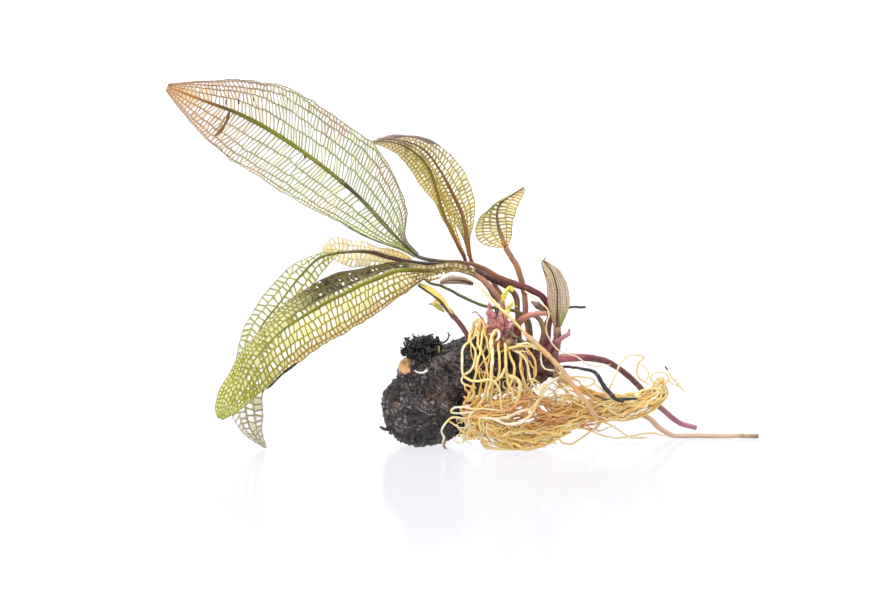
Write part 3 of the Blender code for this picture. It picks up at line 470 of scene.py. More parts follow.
def add_rings(shape, places, **values):
    """Closed skin over rings of places, one row after another. A value is for a row or for each place."""
    count, sides = places.shape[:2]
    near = (np.arange(count - 1)[:, None] * sides + np.arange(sides)[None, :]).reshape(-1)
    beside = (np.arange(count - 1)[:, None] * sides + (np.arange(sides)[None, :] + 1) % sides).reshape(-1)
    faces = np.stack([near, beside, beside + sides, near + sides], axis=1).tolist()
    last = (count - 1) * sides
    for side in range(sides):
        other = (side + 1) % sides
        faces.append((other, side, count * sides))
        faces.append((last + side, last + other, count * sides + 1))
    ends = np.stack([places[0].mean(axis=0), places[-1].mean(axis=0)])
    filled = {}
    for key, amount in values.items():
        grid = np.asarray(amount, dtype=float)
        grid = grid[:, None] if grid.ndim == 1 else grid
        grid = np.broadcast_to(grid, (count, sides))
        filled[key] = np.concatenate([grid.reshape(-1), [grid[0, 0], grid[-1, 0]]])
    shape.add(np.concatenate([places.reshape(-1, 3), ends]), faces, **filled)


def add_tube(shape, route, radii, sides=VEIN_SIDES, squash=1.0, facing=None, **values):
    """A closed tube along a route, flattened to squash in the direction that it faces."""
    route = np.asarray(route, dtype=float)
    radii = np.broadcast_to(np.asarray(radii, dtype=float), (len(route),))
    add_rings(shape, rings(route, np.repeat(radii[:, None], sides, axis=1), facing, squash), **values)


class Blade:
    """A leaf's curved surface: u runs from its base at 0 to its tip at 1, v from -1 to 1 across."""

    def __init__(self, leaf):
        self.guides = [smooth_path(leaf[key], GUIDE_SAMPLES) for key in ("midrib", "upper", "lower")]
        self.lead = leaf["lead"]
        self.height, self.scale = leaf["ripple"]
        self.seed = leaf["seed"]

    def bare(self, u, v):
        """Places on the surface before it is rippled."""
        lead = np.where(v > 0, self.lead[0], self.lead[1])
        u = np.clip(u + 4 * u * (1 - u) * lead * np.abs(v), 0, 1)
        places = [np.stack([evenly(part, u) for part in guide.T], axis=-1) for guide in self.guides]
        middle, upper, lower = places
        v = v[..., None]
        return middle + v * (upper - lower) / 2 + v * v * ((upper + lower) / 2 - middle)

    def facing(self, u, v):
        """Directions square to the surface."""
        small = 0.004
        u = np.clip(u, 2 * small, 1 - 2 * small)
        along = self.bare(u + small, v) - self.bare(u - small, v)
        across = self.bare(u, v + 0.05) - self.bare(u, v - 0.05)
        return unit(np.cross(along, across))

    def place(self, u, v):
        """Places on the rippled surface, and the directions square to it."""
        places = self.bare(u, v)
        facing = self.facing(u, v)
        flat = places.reshape(-1, 3) / self.scale
        shift = Vector((self.seed * 1.7, self.seed * 0.3, 0.0))
        lift = np.array([noise.noise(Vector(p) + shift) for p in flat]).reshape(u.shape)
        return places + facing * (lift * fade(u, 8) * self.height)[..., None], facing


def vein_line(leaf, share, side, number):
    """A function from u to v for a lengthwise vein, which wanders a little. A margin only wanders inward."""
    seed = leaf["seed"] * 100 + number * 10 + side

    def line(u):
        u = np.asarray(u, dtype=float)
        calm = fade(u, 12)
        if share == 1.0:
            return side * (share - 0.03 * calm * np.clip(1 + wave(u, seed, waves=7, longest=0.4), 0, 2))
        wander = 0.0 if share == 0.0 else 0.03
        return side * share + wander * calm * wave(u, seed, waves=9, longest=0.7)
    return line


def band_rows(blade, low, high, pitch, chance, gaps):
    """Where along a band its cross veins are: about a pitch apart, uneven, with none in the gaps."""
    u = np.linspace(0, 1, LINE_SAMPLES)
    middle = blade.bare(u, (low(u) + high(u)) / 2)
    lengths = lengths_along(middle)
    count = max(4, int(round(lengths[-1] / pitch)))
    steps = 1 + 0.16 * chance.standard_normal(count)
    marks = np.concatenate(([0.0], np.cumsum(np.clip(steps, 0.55, 1.7))))
    rows = np.interp(marks / marks[-1] * lengths[-1], lengths, u)
    for start, end in gaps:
        rows = rows[(rows < start) | (rows > end)]
    return rows


def add_band(shape, blade, leaf, low, high, pitch, chance, gaps):
    """One row of windows between two lengthwise veins, with a ring of tissue round each."""
    rows = band_rows(blade, low, high, pitch, chance, gaps)
    count = len(rows) - 1
    slant = leaf["slant"] * chance.standard_normal(count + 1)
    slant[0] = 0
    slant[-1] = 0
    on_low, on_high = rows - slant, rows + slant

    steps = np.arange(CELL_SIDE) / CELL_SIDE
    across = np.concatenate([steps, np.ones(CELL_SIDE), 1 - steps, np.zeros(CELL_SIDE)])
    along = np.concatenate([np.zeros(CELL_SIDE), steps, np.ones(CELL_SIDE), 1 - steps])
    ring = len(across)

    def spread(s, t):
        """Turn shares across and along each window into places on the blade."""
        start = on_low[:-1, None] * (1 - s) + on_high[:-1, None] * s
        end = on_low[1:, None] * (1 - s) + on_high[1:, None] * s
        u = start * (1 - t) + end * t
        return u, low(u) * (1 - s) + high(u) * s

    ones = np.ones((count, 1))
    u, v = (part[:, 0] for part in spread(ones / 2, ones / 2))
    size = []
    for pair in (((0, 0.5), (1, 0.5)), ((0.5, 0), (0.5, 1))):
        ends = [blade.bare(*spread(ones * s, ones * t)) for s, t in pair]
        size.append(np.linalg.norm(ends[1] - ends[0], axis=-1)[:, 0])
    wide, tall = (np.maximum(amount, 0.05) for amount in size)
    tissue = table(leaf["tissue_along"], u) + table(leaf["tissue_across"], v)
    tissue = tissue * np.exp(0.35 * chance.standard_normal(count))
    half_wide = 0.5 - (leaf["vein_radius"] * 0.8 + tissue) / wide
    half_tall = 0.5 - (leaf["cross_half"] + tissue) / tall
    closed_share = table(leaf["closed_along"], u) + table(leaf["closed_across"], v)
    closed = chance.random(count) < closed_share
    closed |= (half_wide < SMALLEST_HOLE) | (half_tall < SMALLEST_HOLE)
    half_wide = np.where(closed, np.maximum(half_wide, MEMBRANE_HOLE), half_wide)
    half_tall = np.where(closed, np.maximum(half_tall, MEMBRANE_HOLE), half_tall)

    angle = np.arctan2(along - 0.5, across - 0.5)
    power = HOLE_SQUARENESS
    reach = (np.abs(np.cos(angle)) ** power + np.abs(np.sin(angle)) ** power) ** (-1 / power)
    hole_s = 0.5 + (reach * np.cos(angle))[None] * half_wide[:, None]
    hole_t = 0.5 + (reach * np.sin(angle))[None] * half_tall[:, None]
    outer_s = np.broadcast_to(across, hole_s.shape)
    outer_t = np.broadcast_to(along, hole_t.shape)
    edge = (leaf["cross_half"] / (leaf["cross_half"] + tissue))[:, None] * 0.85
    middle_s = outer_s + (hole_s - outer_s) * edge
    middle_t = outer_t + (hole_t - outer_t) * edge

    on_vein = (across == 0) | (across == 1)
    on_cross = (along == 0) | (along == 1)
    ridge = leaf["cross_half"] * np.where(on_cross, 1.1, 0.6)
    ridge = np.where(on_vein & on_cross, leaf["vein_radius"] * 0.9, ridge)
    layers = [(outer_s, outer_t, ridge, 1.0), (middle_s, middle_t, ridge * 0.7, 0.8),
              (hole_s, hole_t, np.full(ring, EDGE_HALF), 0.0),
              (ones / 2, ones / 2, np.array([FILM_HALF]), 0.0)]
    tops, bottoms, cross_mark, film_mark, u_mark, v_mark = [], [], [], [], [], []
    for s, t, height, mark in layers:
        u, v = spread(s, t)
        places, facing = blade.place(u, v)
        tops.append(places + facing * height[None, :, None])
        bottoms.append(places - facing * height[None, :, None])
        cross_mark.append(np.broadcast_to(mark * on_cross if len(height) == ring else np.zeros(1), u.shape))
        film_mark.append(np.broadcast_to(closed[:, None] * (mark == 0.0), u.shape))
        u_mark.append(u)
        v_mark.append(v)
    top = np.concatenate(tops, axis=1)
    bottom = np.concatenate(bottoms, axis=1)
    layer = top.shape[1]
    places = np.concatenate([top, bottom], axis=1).reshape(-1, 3)
    marks = [np.concatenate(parts, axis=1) for parts in (cross_mark, film_mark, u_mark, v_mark)]
    marks = [np.concatenate([part, part], axis=1).reshape(-1) for part in marks]

    faces = []
    centre = 3 * ring
    for cell in range(count):
        up = cell * 2 * layer
        down = up + layer
        for k in range(ring):
            n = (k + 1) % ring
            for first in (0, ring):
                second = first + ring
                faces.append((up + first + k, up + first + n, up + second + n, up + second + k))
                faces.append((down + first + n, down + first + k, down + second + k, down + second + n))
            hole = 2 * ring
            if closed[cell]:
                faces.append((up + hole + k, up + hole + n, up + centre))
                faces.append((down + hole + n, down + hole + k, down + centre))
            else:
                faces.append((up + hole + k, up + hole + n, down + hole + n, down + hole + k))
            outer_wall = on_vein[k] and on_vein[n] and across[k] == across[n]
            first_row = cell == 0 and along[k] == 0 and along[n] == 0
            last_row = cell == count - 1 and along[k] == 1 and along[n] == 1
            if outer_wall or first_row or last_row:
                faces.append((up + n, up + k, down + k, down + n))
    used = np.ones(len(places), dtype=bool)
    for cell in np.nonzero(~closed)[0]:
        used[cell * 2 * layer + centre] = False
        used[cell * 2 * layer + layer + centre] = False
    fresh = np.cumsum(used) - 1
    faces = [[int(fresh[corner]) for corner in face] for face in faces]
    cross, film, u, v = (part[used] for part in marks)
    shape.add(places[used], faces, cross=cross, film=film, along=u * leaf["colour_reach"], across=v)


def add_vein(shape, blade, line, radii, reach, **marks):
    """A lengthwise vein: a tube that follows its line over the blade."""
    u = np.linspace(0.0, 1.0, LINE_SAMPLES)
    length = path_length(blade.bare(u, line(u)))
    u = np.linspace(0.0, 1.0, max(8, int(length / VEIN_STEP)))
    places, facing = blade.place(u, line(u))
    add_tube(shape, places, radii(u), facing=facing, along=u * reach, across=line(u), **marks)


def add_scar(shape, blade, points, radius, shade, seed):
    """A stain or scrap that lies on the blade, along a line of places given as u and v."""
    at = np.linspace(0, 1, 20)
    u, v = (evenly(amounts, at) for amounts in zip(*points))
    places, facing = blade.place(u, v)
    ends = np.clip(0.3 + 4 * np.minimum(at, 1 - at), 0, 1)
    radii = radius * ends * (1 + 0.3 * wave(at, seed, waves=7, longest=0.6))
    add_tube(shape, places, radii, squash=0.5, facing=facing, along=u, across=v, stain=shade)


def net_leaf(name, leaf, finish):
    """A whole leaf: the net of its blade, and of the strips that run on beside its stalk."""
    shape = Shape()
    leaf = {**PLAIN_LEAF, **leaf}
    for part in (leaf, *({**leaf, **strip} for strip in leaf["strips"])):
        add_net(shape, part)
    return dress(shape.build(name, finish), leaf["slot"], leaf["node"])


def add_net(shape, leaf):
    """One blade: rows of windows, the veins between them, its margins, its midrib and its scars."""
    blade = Blade(leaf)
    reach = leaf["colour_reach"]
    chance = np.random.default_rng(leaf["seed"])
    for side, key in ((1, "upper_veins"), (-1, "lower_veins")):
        shares = [0.0] + leaf[key]
        lines = [vein_line(leaf, share, side, number) for number, share in enumerate(shares)]
        for number in range(len(lines) - 1):
            mix = number / max(1, len(lines) - 2)
            pitch = leaf["pitch"][0] * (1 - mix) + leaf["pitch"][1] * mix
            low, high = lines[number], lines[number + 1]
            if side < 0:
                low, high = high, low
            gaps = [gap[2:] for gap in leaf["gaps"] if gap[:2] == (side, number)]
            add_band(shape, blade, leaf, low, high, pitch, chance, gaps)
        for number, line in enumerate(lines[1:]):
            base = leaf["vein_radius"] * (0.85 if number == len(lines) - 2 else 1.0)
            wobble = leaf["seed"] + number

            def radii(u, base=base, wobble=wobble):
                thick = base * np.clip(0.5 + 7 * u, 0, 1) * (1.05 - 0.35 * u)
                return thick * (1 + 0.25 * wave(u, wobble, waves=12, longest=0.2))
            add_vein(shape, blade, line, radii, reach, long=1.0)

    def rib_radii(u):
        return evenly(leaf["midrib_radius"], u) * (1 + 0.12 * wave(u, leaf["seed"], waves=14, longest=0.3))
    add_vein(shape, blade, lambda u: np.zeros_like(u), rib_radii, reach, long=1.0, rib=1.0)
    for number, (points, radius, shade) in enumerate(leaf["scars"]):
        add_scar(shape, blade, points, radius, shade, leaf["seed"] + 7 * number)
    for route, radius, shade in leaf["wisps"]:
        add_tube(shape, smooth_path(route, 10), radius * np.linspace(1, 0.4, 10), along=1.0, stain=shade)


class Finish:
    """A procedural material while it is put together. Its noise is in millimetres."""

    def __init__(self, name, roughness, specular=0.5, coat=0.0):
        self.material = bpy.data.materials.new(name)
        self.material.use_nodes = True
        self.tree = self.material.node_tree
        self.shader = self.tree.nodes["Principled BSDF"]
        self.output = self.tree.nodes["Material Output"]
        self.shader.inputs["Roughness"].default_value = roughness
        self.shader.inputs["Specular IOR Level"].default_value = specular
        self.shader.inputs["Coat Weight"].default_value = coat
        self.shader.inputs["Coat Roughness"].default_value = 0.15
        place = self.tree.nodes.new("ShaderNodeTexCoord")
        scale = self.tree.nodes.new("ShaderNodeMapping")
        scale.inputs["Scale"].default_value = (1 / MM, 1 / MM, 1 / MM)
        self.tree.links.new(place.outputs["Object"], scale.inputs["Vector"])
        self.place = scale.outputs["Vector"]

    def node(self, kind, links=(), **settings):
        """A new node with these settings, its inputs linked to sockets or set to values."""
        made = self.tree.nodes.new(kind)
        for key, value in settings.items():
            setattr(made, key, value)
        for key, value in links:
            if isinstance(value, bpy.types.NodeSocket):
                self.tree.links.new(value, made.inputs[key])
            else:
                made.inputs[key].default_value = value
        return made

    def value(self, name):
        """A value stored on the mesh."""
        return self.node("ShaderNodeAttribute", attribute_name=name).outputs["Fac"]

    def noise(self, size, detail=3.0, roughness=0.55, warp=0.0):
        """Noise with features of about this size."""
        links = [("Vector", self.place), ("Scale", 1 / size), ("Detail", detail), ("Roughness", roughness),
                 ("Distortion", warp)]
        return self.node("ShaderNodeTexNoise", links).outputs["Fac"]

    def ramp(self, factor, stops):
        """Colours read off along a factor. A stop is a place and its red, green and blue as seen."""
        made = self.node("ShaderNodeValToRGB", [("Fac", factor)])
        while len(made.color_ramp.elements) < len(stops):
            made.color_ramp.elements.new(0.5)
        for element, (place, *colour) in zip(made.color_ramp.elements, stops):
            element.position = place
            element.color = from_screen(colour)
        return made.outputs["Color"]

    def levels(self, factor, low, high, out_low=0.0, out_high=1.0):
        """A factor spread out between two levels."""
        links = [("Value", factor), ("From Min", low), ("From Max", high), ("To Min", out_low),
                 ("To Max", out_high)]
        return self.node("ShaderNodeMapRange", links, interpolation_type="SMOOTHSTEP").outputs["Result"]

    def mix(self, factor, first, second, blend="MIX"):
        """Two colours mixed, each a socket or a colour as seen."""
        made = self.node("ShaderNodeMix", data_type="RGBA", blend_type=blend)
        for index, value in ((0, factor), (6, first), (7, second)):
            if isinstance(value, bpy.types.NodeSocket):
                self.tree.links.new(value, made.inputs[index])
            else:
                made.inputs[index].default_value = value if index == 0 else from_screen(value)
        return made.outputs[2]

    def sums(self, operation, first, second):
        """Two values added, multiplied or otherwise worked on."""
        return self.node("ShaderNodeMath", [(0, first), (1, second)], operation=operation).outputs[0]

    def times(self, first, second):
        """Two values multiplied."""
        return self.sums("MULTIPLY", first, second)

    def wavering(self, value, size, amount, detail=3.0):
        """A value made uneven by noise of this size."""
        lift = self.sums("SUBTRACT", self.noise(size, detail), 0.5)
        return self.sums("ADD", value, self.times(lift, amount))

    def patches(self, size, low, high, most=1.0, detail=3.0):
        """Soft-edged patches in noise of this size: 0 between them, and most inside."""
        return self.levels(self.noise(size, detail), low, high, 0.0, most)

    def layers(self, colour, *layers):
        """A colour with others laid over it, each as its share and the colour."""
        for share, shade in layers:
            colour = self.mix(share, colour, shade)
        return colour

    def bump(self, height, distance, strength):
        """Give the surface fine relief of about this depth."""
        links = [("Height", height), ("Distance", distance * MM), ("Strength", strength)]
        made = self.node("ShaderNodeBump", links)
        self.tree.links.new(made.outputs["Normal"], self.shader.inputs["Normal"])

    def colour(self, socket):
        """Use a colour for the surface."""
        self.tree.links.new(socket, self.shader.inputs["Base Color"])

    def roughen(self, socket):
        """Use a value for the surface's roughness."""
        self.tree.links.new(socket, self.shader.inputs["Roughness"])

    def glow_through(self, colour, share):
        """Let some of the light through, as thin tissue does."""
        thin = self.node("ShaderNodeBsdfTranslucent", [("Color", colour)])
        links = [(0, share), (1, self.shader.outputs[0]), (2, thin.outputs[0])]
        both = self.node("ShaderNodeMixShader", links)
        self.tree.links.new(both.outputs[0], self.output.inputs["Surface"])


def leaf_finish(name, light):
    """Leaf tissue: veins and the tissue between them in their own colours from base to tip."""
    colours = LEAF_COLOURS[name]
    finish = Finish(name + "_tissue", 0.42, specular=0.4)
    along = finish.wavering(finish.value("along"), 5.0, 0.16)
    across = finish.value("across")
    tissue = finish.ramp(along, colours["tissue"])
    tissue = finish.mix(finish.patches(0.8, 0.45, 0.8, 0.2), tissue, (160, 146, 92))
    if name == "large_leaf":
        edge = finish.levels(finish.times(across, across), 0.2, 0.6)
        blush = finish.times(edge, finish.patches(14.0, 0.42, 0.56, 0.8))
        tissue = finish.mix(blush, tissue, (252, 216, 196))
    if name == "front_leaf":
        tissue = front_leaf_tissue(finish, tissue, across, along)
    film = finish.times(finish.value("film"), FILM_LIGHTNESS)
    long = finish.levels(finish.value("long"), 0.2, 0.8)
    knots = finish.times(long, finish.patches(0.9, 0.56, 0.7, 0.5, detail=2.0))
    colour = finish.layers(
        tissue,
        (film, (255, 252, 222)),
        (finish.levels(finish.value("cross"), 0.35, 0.85), finish.ramp(along, colours["cross"])),
        (long, finish.ramp(along, colours["long"])),
        (finish.value("rib"), finish.ramp(along, colours["midrib"])),
        (finish.patches(2.2, 0.6, 0.75, 0.3, detail=5.0), (140, 116, 76)),
        (knots, (84, 74, 50)))
    # Painted shade where the front leaf folds back, and brown mottling at its base.
    if name == "front_leaf":
        colour = front_leaf_shade_and_mottle(finish, colour, across, along)
    # The pale pink end of the stain colours is painted highlight on the folded leaf.
    stain = finish.value("stain")
    shade = finish.ramp(stain, [(0.1, 196, 202, 84), (0.2, 168, 166, 84), (0.35, 206, 160, 104),
                                (0.45, 158, 134, 128), (0.55, 136, 92, 48), (0.75, 72, 60, 42),
                                (0.9, 40, 34, 28), (0.95, 246, 226, 216)])
    colour = finish.mix(finish.sums("GREATER_THAN", stain, 0.05), colour, shade)
    if light != 1.0:
        colour = finish.mix(1.0, colour, (255 * light,) * 3, "MULTIPLY")
    finish.colour(colour)
    finish.bump(finish.noise(0.35, detail=4.0), 0.05, 0.5)
    finish.glow_through(colour, 0.3)
    return finish.material


def front_leaf_tissue(finish, tissue, across, along):
    """The front leaf is light yellow below its midrib and orange at that margin."""
    near_base = finish.levels(along, 0.8, 0.5)
    return finish.layers(
        tissue,
        (finish.times(finish.levels(across, 0.02, -0.1), near_base), (246, 232, 140)),
        (finish.times(finish.levels(across, -0.62, -0.95), near_base), (236, 184, 96)))


def front_leaf_shade_and_mottle(finish, colour, across, along):
    """Painted shade, dark olive blotched with black-brown, where the front leaf's upper half folds back."""
    lengthwise = finish.times(finish.levels(along, 0.6, 0.38), finish.levels(along, 0.05, 0.1))
    fold = finish.times(finish.levels(across, 0.05, 0.25), lengthwise)
    blotches = finish.patches(1.6, 0.44, 0.6, detail=4.0)
    strip = finish.times(finish.levels(along, 0.1, 0.05), blotches)
    return finish.layers(
        colour,
        # Painted shade over the fold, then brown mottling near the base.
        (fold, finish.mix(blotches, (104, 90, 20), (34, 22, 0))),
        (finish.times(strip, 0.7), (116, 80, 44)))


# Each stalk: its route from the leaf, or free end, to the crown, its diameters and its colour stops on
# the way. Twigs are thin ends and scraps on it: a route, diameters, and a shade from 0, the stalk's own,
# over 0.1, dark brown, and 0.6, olive, to 1, yellow.
STALKS = {}
STALKS["large_leaf_stalk"] = dict(
    node="stalk_large", slot="stalk_maroon", diameters=[1.3, 1.3, 2.3, 2.3, 2.5],
    path=[(-4.5, 3, 66.5), (-1, 2, 65.5), (3.5, 1.5, 65), (12, 1, 64.5), (18, 1, 62.9), (21, 1, 61.2),
        (24.5, 1, 59), (29, 0.5, 57.2), (35, 0, 55), (40, -0.5, 52), (42, -0.5, 47.5), (41.5, -0.5, 41.5),
        (41, -1, 33)],
    colours=[(0, 60, 54, 40), (0.14, 96, 86, 46), (0.25, 128, 84, 50), (0.4, 150, 92, 62),
        (0.5, 112, 58, 46), (0.7, 104, 40, 50), (0.95, 140, 84, 84)],
    twigs=[([(41.4, -1.5, 47.4), (39.7, -2.6, 48.3), (37.4, -3, 49.9), (35.3, -2.6, 51.2)],
        [0.6, 1.9, 2.4, 0.6], 0.25)])
STALKS["front_leaf_stalk"] = dict(
    node="stalk_front", slot="stalk_pink", diameters=[1.9, 1.7, 1.7, 2.2],
    path=[(0, -3.5, 62), (7.5, -3.5, 63), (12, -4, 62), (17, -4.5, 60), (20.5, -4.8, 57), (23.5, -4.5, 53.5),
        (25.5, -3.7, 49.5), (26, -2.4, 45), (26.4, -1.2, 40), (26.5, 0, 34)],
    colours=[(0, 112, 104, 34), (0.2, 160, 108, 72), (0.55, 188, 134, 102), (1, 184, 122, 106)])
STALKS["arching_leaf_stalk"] = dict(
    node="stalk_arching", slot="stalk_dark", diameters=[1.1, 1.6, 2, 2, 2],
    path=[(-32, 0, 68), (-23, 1, 68.3), (-14, 3, 66), (-6.5, 3.7, 64.2), (0, 4, 63.6), (6.5, 4.2, 63.4),
        (14, 4.6, 61.5), (21, 5.5, 58.5), (27.5, 7, 55), (30.5, 7.5, 51), (31, 6.5, 46), (31.5, 4, 34)],
    colours=[(0, 104, 92, 34), (0.18, 70, 48, 42), (0.5, 64, 44, 46), (0.7, 84, 56, 50), (0.8, 140, 98, 54),
        (1, 128, 84, 54)])
STALKS["pale_leaf_stalk"] = dict(
    node="stalk_pale", slot="stalk_olive", diameters=[1, 1, 1.2, 1.5],
    path=[(-6.5, 7, 64.5), (-4, 6.5, 60.5), (-0.5, 5, 57), (3.5, 2.5, 56), (8.5, 0.5, 54), (14.5, -1, 51),
        (20.5, -1, 49), (26, -1, 48.5), (31, -1, 47.3), (34, -0.5, 45), (35.2, 0, 41), (35.5, 0, 34)],
    colours=[(0, 176, 140, 60), (0.3, 92, 92, 40), (0.7, 112, 108, 52), (1, 120, 90, 60)])
STALKS["right_gold_stalk"] = dict(
    node="stalk_gold_right", slot="stalk_brown", diameters=[1.3, 1.6, 1.8],
    path=[(14, 8.5, 66), (15.2, 9.5, 63), (18.5, 10, 60.3), (22, 9.5, 57), (24.8, 8, 52.5), (26, 6.5, 48),
        (26.8, 5, 43), (27.5, 3.5, 33)],
    colours=[(0, 150, 96, 66), (0.5, 168, 112, 84), (1, 160, 100, 84)])
STALKS["left_gold_stalk"] = dict(
    node="stalk_gold_left", slot="stalk_maroon", diameters=[1.3, 1.6, 1.8],
    path=[(12, 6.5, 66), (13.3, 7.3, 62.5), (16, 8, 59.8), (19, 8, 57), (21.5, 6.5, 53.5), (23.3, 4, 49),
        (23.5, 2.5, 45), (23, 2, 33)],
    colours=[(0, 108, 52, 46), (0.3, 120, 70, 60), (0.6, 104, 66, 66), (1, 130, 80, 80)])
STALKS["small_leaf_stalk"] = dict(
    node="stalk_small", slot="stalk_brown", diameters=[1.9, 2, 2.1],
    path=[(26.5, 4, 69.5), (28.6, 4, 66.2), (30.5, 4, 62.6), (32, 4, 58.5), (33, 4, 54), (33.5, 4, 49.5),
        (33.8, 3.8, 45.5), (34.6, 3.5, 41.5), (35.4, 3, 33)],
    colours=[(0, 166, 112, 78), (0.5, 176, 122, 92), (1, 200, 140, 120)])
STALKS["folded_leaf_stalk"] = dict(
    node="stalk_folded", slot="stalk_pink", diameters=[2.6, 3.2, 3.2],
    path=[(44.5, -3, 42), (44.5, -3.5, 38.5), (43.5, -3.5, 33), (42, -3, 28)],
    colours=[(0, 170, 140, 100), (0.25, 150, 96, 92), (1, 110, 60, 66)])
STALKS["withered_stalk"] = dict(
    node="stalk_withered", slot="stalk_brown", diameters=[1.4, 1.8, 1.8],
    path=[(-4, -2, 57), (3, -3.5, 52), (7.5, -4.5, 47), (12, -5, 41.5), (15, -4.5, 33)],
    colours=[(0, 96, 74, 40), (0.15, 84, 52, 36), (0.5, 120, 62, 46), (1, 130, 72, 56)],
    twigs=[([(-3.5, -3, 57.3), (0.5, -4, 55.2), (4.2, -4.8, 52.3), (6, -5.2, 49.8), (8, -5.4, 47)],
        [0.8, 1.9, 1.6, 0.9, 0.4], 1), ([(-0.6, -4, 50.4), (1.4, -4.3, 50.3), (3, -4.4, 49.4),
        (5, -4.6, 47.6)], [0.3, 1.3, 1.7, 0.4], 0.6), ([(1.2, -4.4, 50), (1.9, -4.6, 51.6),
        (3.4, -4.6, 50.4)], [0.9, 0.7, 1], 0.85)])
STALKS["broken_stalk"] = dict(
    node="stalk_broken", slot="stalk_pink", diameters=[1.4, 2, 2.4, 1.9, 1.6],
    path=[(41.5, -7.5, 47.3), (38, -8.2, 47.6), (34.8, -8.2, 47), (32.5, -7.4, 45.8), (31, -5.8, 44),
        (30.2, -3.8, 42), (29.4, -2.5, 39), (28.8, -1.5, 33)],
    colours=[(0, 190, 136, 110), (0.3, 196, 134, 112), (0.6, 150, 76, 84), (1, 120, 60, 66)])
STALKS["bent_stalk"] = dict(
    node="stalk_bent", slot="stalk_dark", diameters=[1.3, 1.9, 2, 1.8],
    path=[(34.5, -4, 46.6), (37, -4.6, 46), (39.2, -4.6, 43.5), (39.8, -4.6, 40.5), (39, -4.2, 37),
        (37.5, -3.5, 32)],
    colours=[(0, 104, 84, 48), (0.3, 160, 132, 82), (0.6, 132, 84, 62), (1, 96, 50, 52)])
STALKS["dark_stub"] = dict(
    node="stub_dark", slot="stalk_dark", diameters=[0.9, 1.2, 1.3],
    path=[(55, 8, 48), (49.5, 7.5, 48), (44.5, 6.5, 46.7), (41, 5, 43), (39, 3.5, 33)],
    colours=[(0, 70, 66, 74), (1, 96, 66, 60)])
STALKS["pink_stub"] = dict(
    node="stub_pink", slot="stalk_pink", diameters=[1.3, 2, 1.9],
    path=[(48.7, -7.5, 40.5), (45.5, -7, 38.7), (42, -5.5, 35.5), (40, -4, 30)],
    colours=[(0, 190, 134, 138), (0.3, 162, 88, 100), (1, 120, 60, 66)],
    twigs=[([(47.4, -7.2, 39.6), (48.3, -7.3, 41), (48.5, -7.3, 42.2)], [1.3, 1, 0.4], 0),
        ([(45, -6.8, 38.8), (45.2, -6.8, 40.2), (44.8, -6.8, 40.8)], [1.2, 0.9, 0.4], 0.1)])
STALKS["cut_stalk"] = dict(
    node="stalk_cut", slot="stalk_maroon", diameters=[1.9, 2.1, 2.1, 2.3, 3.2],
    path=[(96.5, 27.5, 1.7), (90, 25.5, 4), (84, 21.5, 9), (77.5, 17, 15.5), (74, 14, 19.5), (70.5, 11, 23),
        (66.5, 8, 26.5), (62.5, 5.5, 29), (57, 3, 30.5), (52.5, 0.5, 31), (48.5, -1, 31), (42, -1.5, 30.5)],
    colours=[(0, 190, 124, 146), (0.16, 166, 100, 116), (0.3, 146, 90, 76), (0.5, 104, 46, 50),
        (0.8, 112, 44, 54), (0.92, 190, 110, 116)])
STALKS["black_stalk"] = dict(
    node="stalk_black", slot="stalk_dark", diameters=[1.3, 1.6, 1.3, 0.9, 0.9],
    path=[(67.5, -6.5, 16.5), (64.8, -7, 17.5), (62.7, -7.5, 19.6), (60.6, -7.5, 21.7), (59.2, -7.5, 24.2),
        (57.2, -7.5, 26.9), (53.3, -7.5, 28), (49, -5.5, 28.6), (44, -3, 28)],
    colours=[(0, 30, 27, 27), (1, 44, 36, 34)],
    twigs=[([(65.4, -6.9, 17), (68.5, -5.6, 17.2), (72.4, -4.8, 17.2)], [0.9, 1.1, 0.8], 0)])
STALKS["lying_stalk"] = dict(
    node="stalk_lying", slot="stalk_brown", diameters=[1.5, 1.8, 1.8, 1.4, 1.6],
    path=[(117.5, 14, 0.9), (111, 14.3, 0.9), (100.5, 14.5, 0.8), (93, 14.8, 0.8), (87, 14.8, 1),
        (82, 14, 4), (78, 13, 7.5), (72, 12, 10.5), (63.5, 10.5, 14), (54, 7.5, 18.5), (46, 4, 22.5),
        (40, 2, 26)],
    colours=[(0, 150, 120, 90), (0.07, 206, 178, 146), (0.35, 224, 186, 160), (0.6, 208, 170, 110),
        (1, 180, 132, 80)])
STALK_SIDES = 14
STALK_STEP = 0.7
STALK_SWAY = 0.18


def stalk_finish(name, colours):
    """Stalk skin: colours along it, fine lengthwise streaks, pale patches of painted highlight and a wet
    sheen.
    """
    finish = Finish(name + "_skin", 0.32, specular=0.5, coat=0.12)
    scrap = finish.value("scrap")
    flake = finish.ramp(scrap, [(0.1, 70, 46, 44), (0.25, 120, 100, 84), (0.6, 176, 162, 74),
                                (0.85, 226, 204, 90), (1.0, 246, 222, 112)])
    finish.colour(finish.layers(
        finish.ramp(finish.wavering(finish.value("along"), 3.0, 0.2), colours),
        (finish.levels(finish.value("streak"), 0.1, 0.9, 0.0, 0.5), (50, 30, 28)),
        # Painted highlights: pale pinkish-tan patches.
        (finish.patches(1.4, 0.55, 0.75, 0.4, detail=5.0), (206, 160, 136)),
        (finish.sums("GREATER_THAN", scrap, 0.05), flake)))
    finish.bump(finish.noise(0.5, detail=5.0), 0.06, 0.6)
    return finish.material


def stalk_route(path, seed):
    """A stalk's smooth route with a slight sway."""
    rough = smooth_path(path, 60)
    count = max(8, int(path_length(rough) / STALK_STEP))
    route = smooth_path(path, count)
    at = np.linspace(0, 1, count)
    calm = fade(at, 10)
    for axis in range(3):
        route[:, axis] += STALK_SWAY * calm * wave(at, seed + axis, waves=6, longest=0.8)
    return route, at


